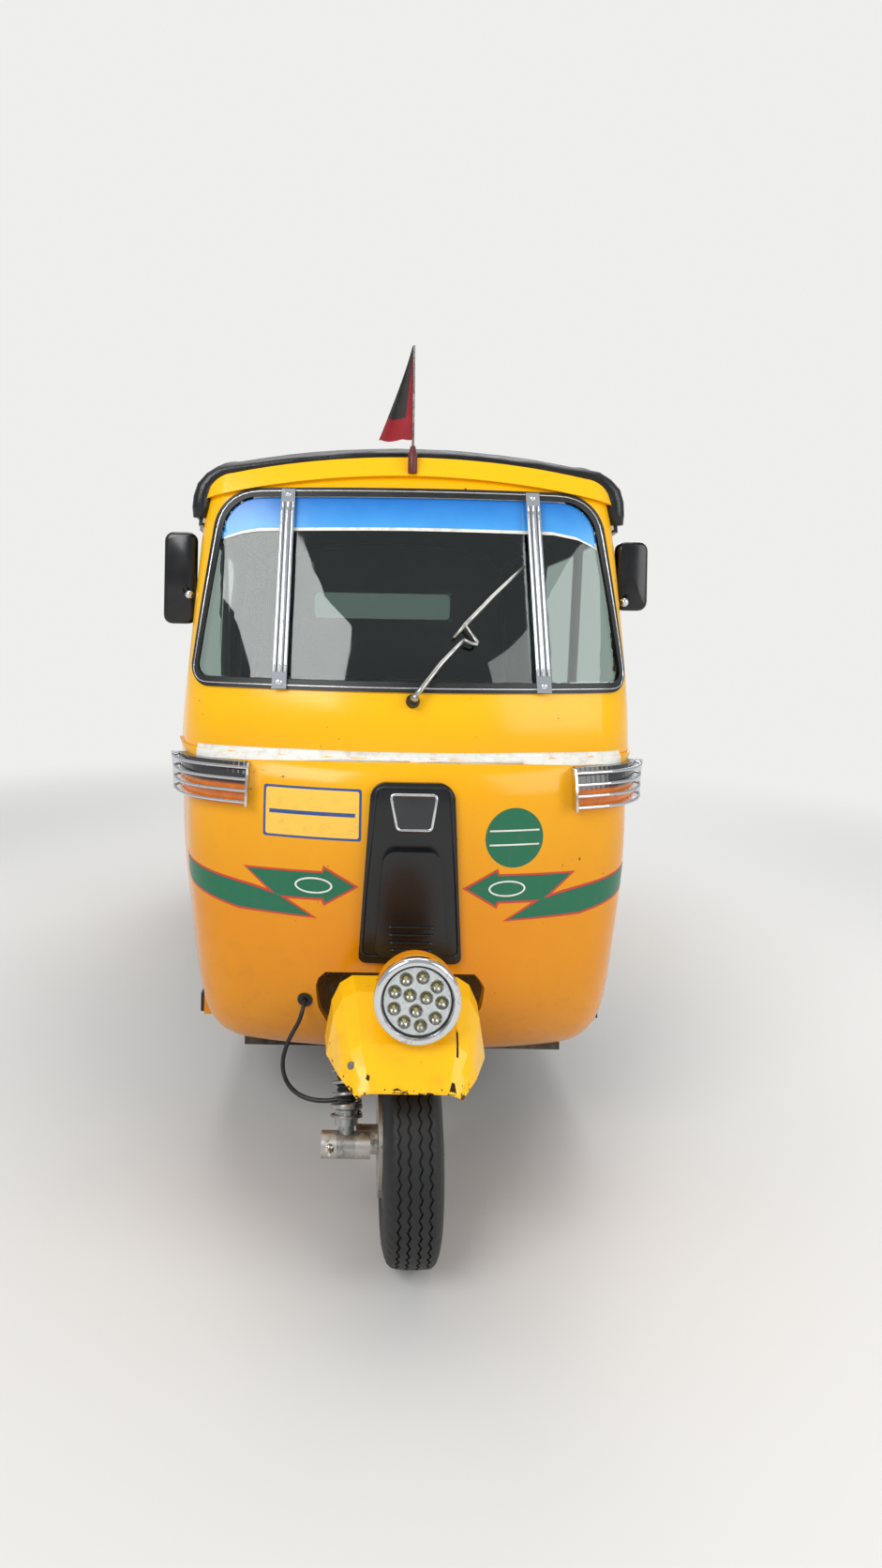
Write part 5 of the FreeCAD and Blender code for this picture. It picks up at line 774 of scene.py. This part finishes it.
# Tyres: cross-ply bias tyres with four zig-zag grooves and short sipes on the shoulders, worn and
# greyed by road dust. One mesh is turned for all three wheels.
tread_rubber = moulding("worn_tyre_rubber", "#0F0F11", "#45423D", 0.55, 2, 0.12, 0.22)
PITCHES = 54
TYRE_RADIUS = 205
FRONT_AXLE = -1.1025  # Y in metres
GROOVES = (-28, -10, 10, 28)
SIDEWALL = [(41, 199.5), (45, 196), (50, 186), (54, 172), (56, 157), (55, 142), (51, 126), (46, 114), (42, 106),
    (38, 103)]
columns = []
for across in GROOVES:
    columns += [(across - 2, 0), (across - 1.4, 4.5), (across + 1.4, 4.5), (across + 2, 0)]
columns = [(-36.5, 0)] + columns + [(36.5, 0)]
tyre_rings = []
tyre = bmesh.new()
for k in range(PITCHES * 4):
    angle = 2 * pi * k / (PITCHES * 4)
    zigzag = (2.6, 0.4, -2.6, -0.4)[k % 4]
    ring = [(-x, r - (2.2 if k % 4 == 0 and x < 48 else 0)) for x, r in reversed(SIDEWALL)]
    ring += [(x + zigzag * (abs(x) < 36), TYRE_RADIUS - 3.2 * (x / 42) ** 2 - depth) for x, depth in columns]
    ring += [(x, r - (2.2 if k % 4 == 2 and x < 48 else 0)) for x, r in SIDEWALL]
    tyre_rings.append([tyre.verts.new((x / 1000, cos(angle) * r / 1000, sin(angle) * r / 1000)) for x, r in ring])
for first, second in zip(tyre_rings, tyre_rings[1:] + tyre_rings[:1]):
    band(tyre, first, second, 1)
bmesh.ops.recalc_face_normals(tyre, faces=tyre.faces[:])
WHEELS = [
    # name, centre, the side that its nuts face
    ("front", (0, FRONT_AXLE, 0.205), 1),
    ("rear_left", (0.575, 0.8975, 0.205), 1),
    ("rear_right", (-0.575, 0.8975, 0.205), -1),
]
rim_paint = moulding("grey_wheel_enamel", "#55565A", "#6E5E48", 0.4, 3, 0.1, 0.8)
nut_steel = metal("rusty_plated_steel", "#8E8C88", "#5C3C28", 0.4, 0.6, 1.5, 0.08)
for name, centre, side in WHEELS:
    mesh = made(tyre.copy(), f"{name}_tread", 30)
    mesh.transform(Matrix.Translation(centre))
    place(f"{name}_tread", mesh, tread_rubber, f"{name}_wheel", (f"{name}_tyre",))
    finish_nodes(rim_paint, f"{name}_rim")
    rim_skin = skin_of(f"{name}_rim")
    for count, (along, up) in enumerate(arc(0, 0, 0.048, 45, 315, 3)):
        spot = Vector(centre) + Vector((side * 0.2, along, up))
        seat = rim_skin.ray_cast(spot, Vector((-side, 0, 0)))[0]
        lathe(f"{name}_nut_{count}", [(0, 9), (6, 9), (8, 7), (8, -1), (0, -1)], seat, nut_steel, f"{name}_wheel",
            6, axis=(side, 0, 0))
tyre.free()


# Front leg: a fork tube with a wound spring and a ribbed rubber dust boot round it, clamped on a
# trailing link of cast aluminium whose back plate carries the drum brake. All of it is road dirty.
leg_steel = metal("greased_steel_tube", "#A9A8A4", "#4E4234", 0.34, 0.4, 2, 0.05)
finish_nodes(leg_steel, "steering_column", "half_shafts")
finish_nodes(metal("sand_cast_aluminium", "#BDB9B1", "#6A6052", 0.42, 0.35, 1.2, 0.2), "front_link")
LEG_RISE = tan(radians(24))


def leg_point(height):
    """A point on the leg's axis at a height in mm."""
    return Vector((-0.125, -1.1625 + (height - 232) / 1000 * LEG_RISE, height / 1000))


leg_axis = Vector((0, sin(radians(24)), cos(radians(24))))
leg_side = Vector((1, 0, 0))
leg_back = leg_axis.cross(leg_side)
COILS, COIL_STEPS = 8, 24
one_coil = around(leg_side, leg_back, 0.0272, COIL_STEPS)
winding = [leg_point(280 + 150 * k / (COILS * COIL_STEPS)) + one_coil[k % COIL_STEPS]
    for k in range(COILS * COIL_STEPS + 1)]
tube("front_spring_winding", winding, 0.0035, leg_steel, "steering", sides=8,
    stands_for=("front_spring",))
for height in (276, 434):
    lathe(f"spring_seat_{height}", [(14, -2), (31, -2), (32, 0), (31, 2), (14, 2)], leg_point(height), leg_steel,
        "steering", 32, axis=leg_axis)
boot_rubber = moulding("ribbed_dust_boot_rubber", "#1E1D1C", "#8A8174", 0.55, 2, 0.1, 1)
boot = [(15.7, -6)]
for k in range(20):
    boot += [(17, k * 7.5 - 4), (20, k * 7.5 - 1.5), (20, k * 7.5 + 0.5), (17, k * 7.5 + 2.5)]
lathe("leg_dust_boot", boot + [(15.7, 150)], leg_point(282), boot_rubber, "steering", 28, axis=leg_axis)
lathe("clamp_nipple", [(0, -16), (3, -16), (4, -12), (5, -4), (8, -2), (8, 4), (0, 4)], (-0.156, -1.1865, 0.238),
    chrome, "steering", 14)


# Brake cable: black PVC over steel, from a rubber grommet in the nose down in a loop to the back
# plate.
cable_skin = moulding("black_pvc_cable_sheath", "#101011", "#6E675C", 0.38, 2, 0.05, 0.6)
ROUTE = [(-218, 136, 441), (-218, 72, 441), (-227, 66, 408), (-238, 68, 388), (-252, 64, 362), (-261, 56, 331),
    (-258, 48, 305), (-244, 40, 284), (-222, 32, 271), (-194, 25, 266), (-160, 20, 268), (-126, 18, 277),
    (-96, 18, 287)]
route = bpy.data.curves.new("brake_cable_route", "CURVE")
route.dimensions = "3D"
spline = route.splines.new("NURBS")
spline.points.add(len(ROUTE) - 1)
for point, (x, behind, z) in zip(spline.points, ROUTE):
    point.co = (x / 1000, FRONT_AXLE + behind / 1000, z / 1000, 1)
spline.order_u = 3
spline.use_endpoint_u = True
spline.resolution_u = 8
line = set_out("brake_cable_route", route)
bpy.context.view_layer.update()
followed = bpy.data.meshes.new_from_object(line)
path = [vertex.co.copy() for vertex in followed.vertices]
bpy.data.objects.remove(line)
sheath = tube("brake_cable_sheath", path, 0.0045, cable_skin, None, sides=12,
    stands_for=("brake_cable",))
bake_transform(sheath)


# Mudguard: pressed steel with two sharp creases, in the same yellow enamel, chipped to rust along
# its front lip and on the creases. Its copy of the enamel is lighter and barely darkens low down:
# painted light. A small bolt holds it to its stay.
lit_guard_enamel = enamel("chipped_and_lit_mudguard_enamel", "#FFC814", "#FBBE10", 0.5, 1.1, (0.412, 0.436))
finish_nodes(lit_guard_enamel, "front_mudguard")
guard_skin = skin_of("front_mudguard")
spot = meet(guard_skin, -0.117, 0.452)[0]
lathe("mudguard_bolt_0", [(0, -4), (4.5, -3.6), (5.5, -1.5), (7.5, -1), (7.5, 1)], spot, nut_steel, "steering", 18)
rust = metal("flaked_brown_rust", "#5A3A26", "#2A1A12", 0.75, 1, 1, 0.4)
CHIPS = [
    [(-47, 420), (-44, 428), (-36, 430), (-27, 426), (-18, 427), (-16, 420), (-30, 417)],
    [(12, 418), (16, 425), (25, 424), (31, 420), (26, 415), (15, 415)],
    [(50, 416), (52, 424), (58, 430), (60, 438), (65, 436), (67, 424), (64, 415)],
    [(70, 470), (72, 486), (73, 505), (76, 500), (75, 482), (74, 468)],
    [(-92, 440), (-89, 447), (-84, 444), (-86, 438)],
]
for index, outline in enumerate(CHIPS):
    foil(f"mudguard_chip_{index}", outline, guard_skin, rust, 0.4, 6, body="steering")


# Headlamp: a round lamp in a yellow steel bowl with a chromed rim, a dark gasket and a silvered
# plate with twelve small reflectors, each round a yellow light chip, behind a clear acrylic lens.
LAMP = Vector((-0.002, -1.3025, 0.573))
lathe("headlamp_rim", [(63, 9), (63.5, 4), (66, 0.5), (70, -0.5), (74, 0.5), (77, 3), (78, 7), (78, 14), (75, 15.7),
    (70, 15.7)], LAMP, chrome, "steering", 96, ("headlamp",))
lathe("headlamp_gasket", [(60, 7.5), (61, 5.5), (63.5, 5), (64.5, 8)], LAMP, seal_rubber, "steering", 72)
plating = {"Base Color": "#D9DBDD", "Metallic": 0.35}
silver = dulled("silvered_reflector_plate", plating, 0.015, 0.4, 0.8, 0.22, 0.5, 4)
# The shallow reflector cups are coloured duller and darker than the silvered plate: painted shade of deeper cups
shaded_cup_metal = metal("vacuum_silvered_cup_with_painted_shade", "#A7A49C", "#3E3A34", 0.16, 0.35, 3, 0.02)
light_chip = moulding("yellow_light_chip", "#C9BE7A", "#8A7A3A", 0.25, 1, 0.05, 0.4)
spots = arc(0, 0, 43.5, 78, 398, 8) + arc(0, 0, 17, 142, 382, 2)
plate = bmesh.new()
edges = []
for x, z, radius, steps in [(0, 0, 61.5, 72)] + [(x, z, 11.2, 24) for x, z in spots]:
    circle = arc(x, z, radius, 0, 360 - 360 / steps, steps - 1)
    ring = [plate.verts.new(LAMP + Vector((across / 1000, 0.008, up / 1000))) for across, up in circle]
    edges += [plate.edges.new((ring[k], ring[(k + 1) % steps])) for k in range(steps)]
bmesh.ops.triangle_fill(plate, edges=edges, use_beauty=True, use_dissolve=False, normal=(0, -1, 0))
place("reflector_plate", made(plate, "reflector_plate"), silver, "steering")
for index, (x, z) in enumerate(spots):
    seat = LAMP + Vector((x / 1000, 0, z / 1000))
    lathe(f"reflector_cup_{index}", [(12.6, 8), (12.2, 6.8), (11.2, 6.8), (10.2, 8.5), (7.5, 11.5), (4.2, 14.2),
        (0, 14.8)], seat, shaded_cup_metal, "steering", 24)
    lathe(f"light_chip_{index}", [(0, 10.5), (2.4, 11), (3.6, 12.5), (3.8, 14.6)], seat, light_chip, "steering", 14)
clear = {"Base Color": "#F4F6F6", "Transmission Weight": 1, "IOR": 1.12}
acrylic = dulled("clear_acrylic_lens", clear, 0.01, 0.5, 0.8, 0, 0.12, 5)
lathe("headlamp_lens", [(0, 2.2), (25, 2.6), (45, 3.6), (62.5, 5.6), (62.5, 6.6), (45, 4.6), (25, 3.6), (0, 3.2)],
    LAMP, acrylic, "steering", 64)


# Handlebar, head tube and dash: black stove enamel on steel, with rubber grips and a moulded
# instrument housing. They show dimly through the windscreen.
finish_nodes(moulding("black_stove_enamel", "#141416", "#75695A", 0.3, 4, 0.05, 0.7), "handlebar", "steering_head",
    "hood_frame", "door_pillars", "driver_seat_base", "bench_frame", "wheel_housings", "rear_chassis",
    "rear_bumper")


# Floor: pressed steel with a ribbed black rubber mat, brown with trodden dust.
mat_rubber, node, shader = surface("ribbed_rubber_floor_mat")
ribs = node("TexWave", {"Scale": WAVE_PITCH / 0.02368}, out="Fac", bands_direction="X")
dust = blots(node, 0.15, 0.4, 0.7, detail=8, roughness=0.65)
tint = node("Mix", {0: dust, 6: "#161616", 7: "#6A5C4A"}, data_type="RGBA")
bump = node("Bump", {"Height": ribs, "Strength": 0.8, "Distance": 0.0015})
feed(shader, {"Base Color": tint, "Normal": bump, "Roughness": 0.7})
finish_nodes(mat_rubber, "floor_pan")


# Seats: foam pads in black embossed vinyl, piped round the edges and sewn in channels. The driver's
# seat stands on a steel box, and the bench and its back run the whole width of the cab.
seat_vinyl, node, shader = surface("black_embossed_seat_vinyl")
pores = node("TexVoronoi", {"Scale": 1 / 0.003})
wear = blots(node, 0.07, 0.48, 0.75, detail=6)
tint = node("Mix", {0: wear, 6: "#131315", 7: "#4C4742"}, data_type="RGBA")
dull = node("Math", [wear, 0.25, 0.36], operation="MULTIPLY_ADD")
bump = node("Bump", {"Height": pores, "Strength": 0.5, "Distance": 0.0004})
feed(shader, {"Base Color": tint, "Roughness": dull, "Normal": bump})

# In metres: the round of a pad's edges, and the depth and half width of a sewn channel
ROUNDING, CHANNEL_DEPTH, CHANNEL_WIDTH = 0.022, 0.007, 0.01


def channelled_pad(node, upright, channels, voxel, cap):
    """A foam pad: its solid a little smaller, puffed as cloth, then sewn in channels along it."""
    low, high = (Vector(corner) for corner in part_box(node))
    inset = Vector((0.01, 0.009, 0.009))
    outward = Vector((0, -1, 0)) if upright else Vector((0, 0, 1))
    size, middle = high - low - 2 * inset, (high + low) / 2
    block = bmesh.new()
    bmesh.ops.create_cube(block, size=1, matrix=Matrix.Translation(middle) @ Matrix.Diagonal((*size, 1)))
    bmesh.ops.bevel(block, geom=block.edges[:], offset=ROUNDING, segments=3, affect="EDGES")
    pad = place(f"{node}_pad", made(block, f"{node}_pad"), seat_vinyl, stands_for=(node,))
    remesh = pad.modifiers.new("remesh", "REMESH")
    remesh.mode = "VOXEL"
    remesh.voxel_size = voxel
    bpy.context.view_layer.update()
    even = bpy.data.meshes.new_from_object(pad.evaluated_get(bpy.context.evaluated_depsgraph_get()))
    pad.modifiers.clear()
    pad.data = even
    base = pad.vertex_groups.new(name="base")
    for vertex in even.vertices:
        if vertex.co.y > high.y - ROUNDING if upright else vertex.co.z < low.z + ROUNDING:
            base.add([vertex.index], 1, "REPLACE")
    cloth = pad.modifiers.new("puff", "CLOTH")
    cloth.settings.use_pressure = True
    cloth.settings.uniform_pressure_force = 4
    cloth.settings.effector_weights.gravity = 0
    cloth.settings.vertex_group_mass = "base"
    cloth.settings.quality = 4
    cloth.point_cache.frame_start = 1
    cloth.point_cache.frame_end = 20
    rest = [vertex.co.copy() for vertex in even.vertices]
    for number in range(1, 21):
        bpy.context.scene.frame_set(number)
    puffed = pad.evaluated_get(bpy.context.evaluated_depsgraph_get())
    moved = [vertex.co.copy() for vertex in puffed.to_mesh().vertices]
    puffed.to_mesh_clear()
    pad.modifiers.clear()
    bpy.context.scene.frame_set(1)
    for vertex, start, end in zip(even.vertices, rest, moved):
        shift = end - start
        vertex.co = start + shift * min(1, cap / max(shift.length, 1e-6))
    width = high.x - low.x
    for vertex in even.vertices:
        share = (vertex.co.x - low.x) / width * channels
        near = abs(share - round(share)) * width / channels
        if (vertex.co - middle).dot(outward) > 0 and 0 < round(share) < channels:
            vertex.co -= outward * CHANNEL_DEPTH * exp(-(near / CHANNEL_WIDTH) ** 2)
        for axis in range(3):
            vertex.co[axis] = min(max(vertex.co[axis], low[axis] + 0.0005), high[axis] - 0.0005)
    even.materials.clear()
    even.materials.append(seat_vinyl)
    even.shade_smooth()
    # Piping round the face that is sat on or leaned on
    if upright:
        sides = plain_box(low.x + 0.02, low.z + 0.022, high.x - 0.02, high.z - 0.02)
        face = [(x, low.y + 0.012, z) for x, z in sides]
    else:
        sides = plain_box(low.x + 0.018, low.y + 0.018, high.x - 0.018, high.y - 0.018)
        face = [(x, y, high.z - 0.014) for x, y in sides]
    tube(f"{node}_piping", eased(face, 0.03), 0.0042, seat_vinyl, closed=True, sides=8)


channelled_pad("driver_seat", False, 5, 0.006, 0.012)
channelled_pad("driver_backrest", True, 4, 0.006, 0.012)
channelled_pad("passenger_bench", False, 8, 0.009, 0.014)
channelled_pad("passenger_backrest", True, 8, 0.009, 0.012)


# Engine, gearbox and silencer behind the axle: cast iron and aluminium with oil and dust, and a
# silencer of rusted sheet steel. Arms, drive shafts and springs carry the rear wheels.
finish_nodes(metal("oily_cast_iron", "#5E5C58", "#2A241C", 0.55, 0.8, 1.2, 0.25), "engine_block", "trailing_arms")
finish_nodes(metal("rusted_silencer_steel", "#6E6660", "#6A3E22", 0.5, 1, 1.5, 0.2), "silencer")
finish_nodes(metal("painted_spring_steel", "#3C3B3A", "#5A4630", 0.45, 0.7, 2, 0.08), "rear_springs")


# Back of the body: red acrylic lamps in the corners, a blank white plate, pressed louvres and a
# latch on the engine lid, and a rubber bead round the back window.
red_acrylic = ribbed_acrylic("ribbed_red_acrylic", "#C41414", "#6E1410", "#E07A12", (0.728, 0.73), 0.009865, "Z", 0,
    0.03, 6, {"Roughness": 0.14})
finish_nodes(red_acrylic, "tail_lamps")
lid_skin = skin_of("engine_lid")
for index in range(6):
    height = 640 - index * 26
    for side, word in ((-1, "right"), (1, "left")):
        bead(f"lid_louvre_{index}_{word}", [(side * 60, height), (side * 270, height)], lid_skin, 5, 0.5,
            yellow_enamel, False, 30, "engine_lid", -1)
foil("rear_plate", rounded_box(-130, 680, 130, 790, 6), lid_skin, white_foil, 1, 30, -1, "engine_lid")
window_skin = skin_of("hood", "rear_window")
bead("rear_window_bead", eased([(340, 1414), (-340, 1414), (-340, 1276), (340, 1276)], 30), window_skin, 6, 0.5,
    seal_rubber, step=12, along=-1)
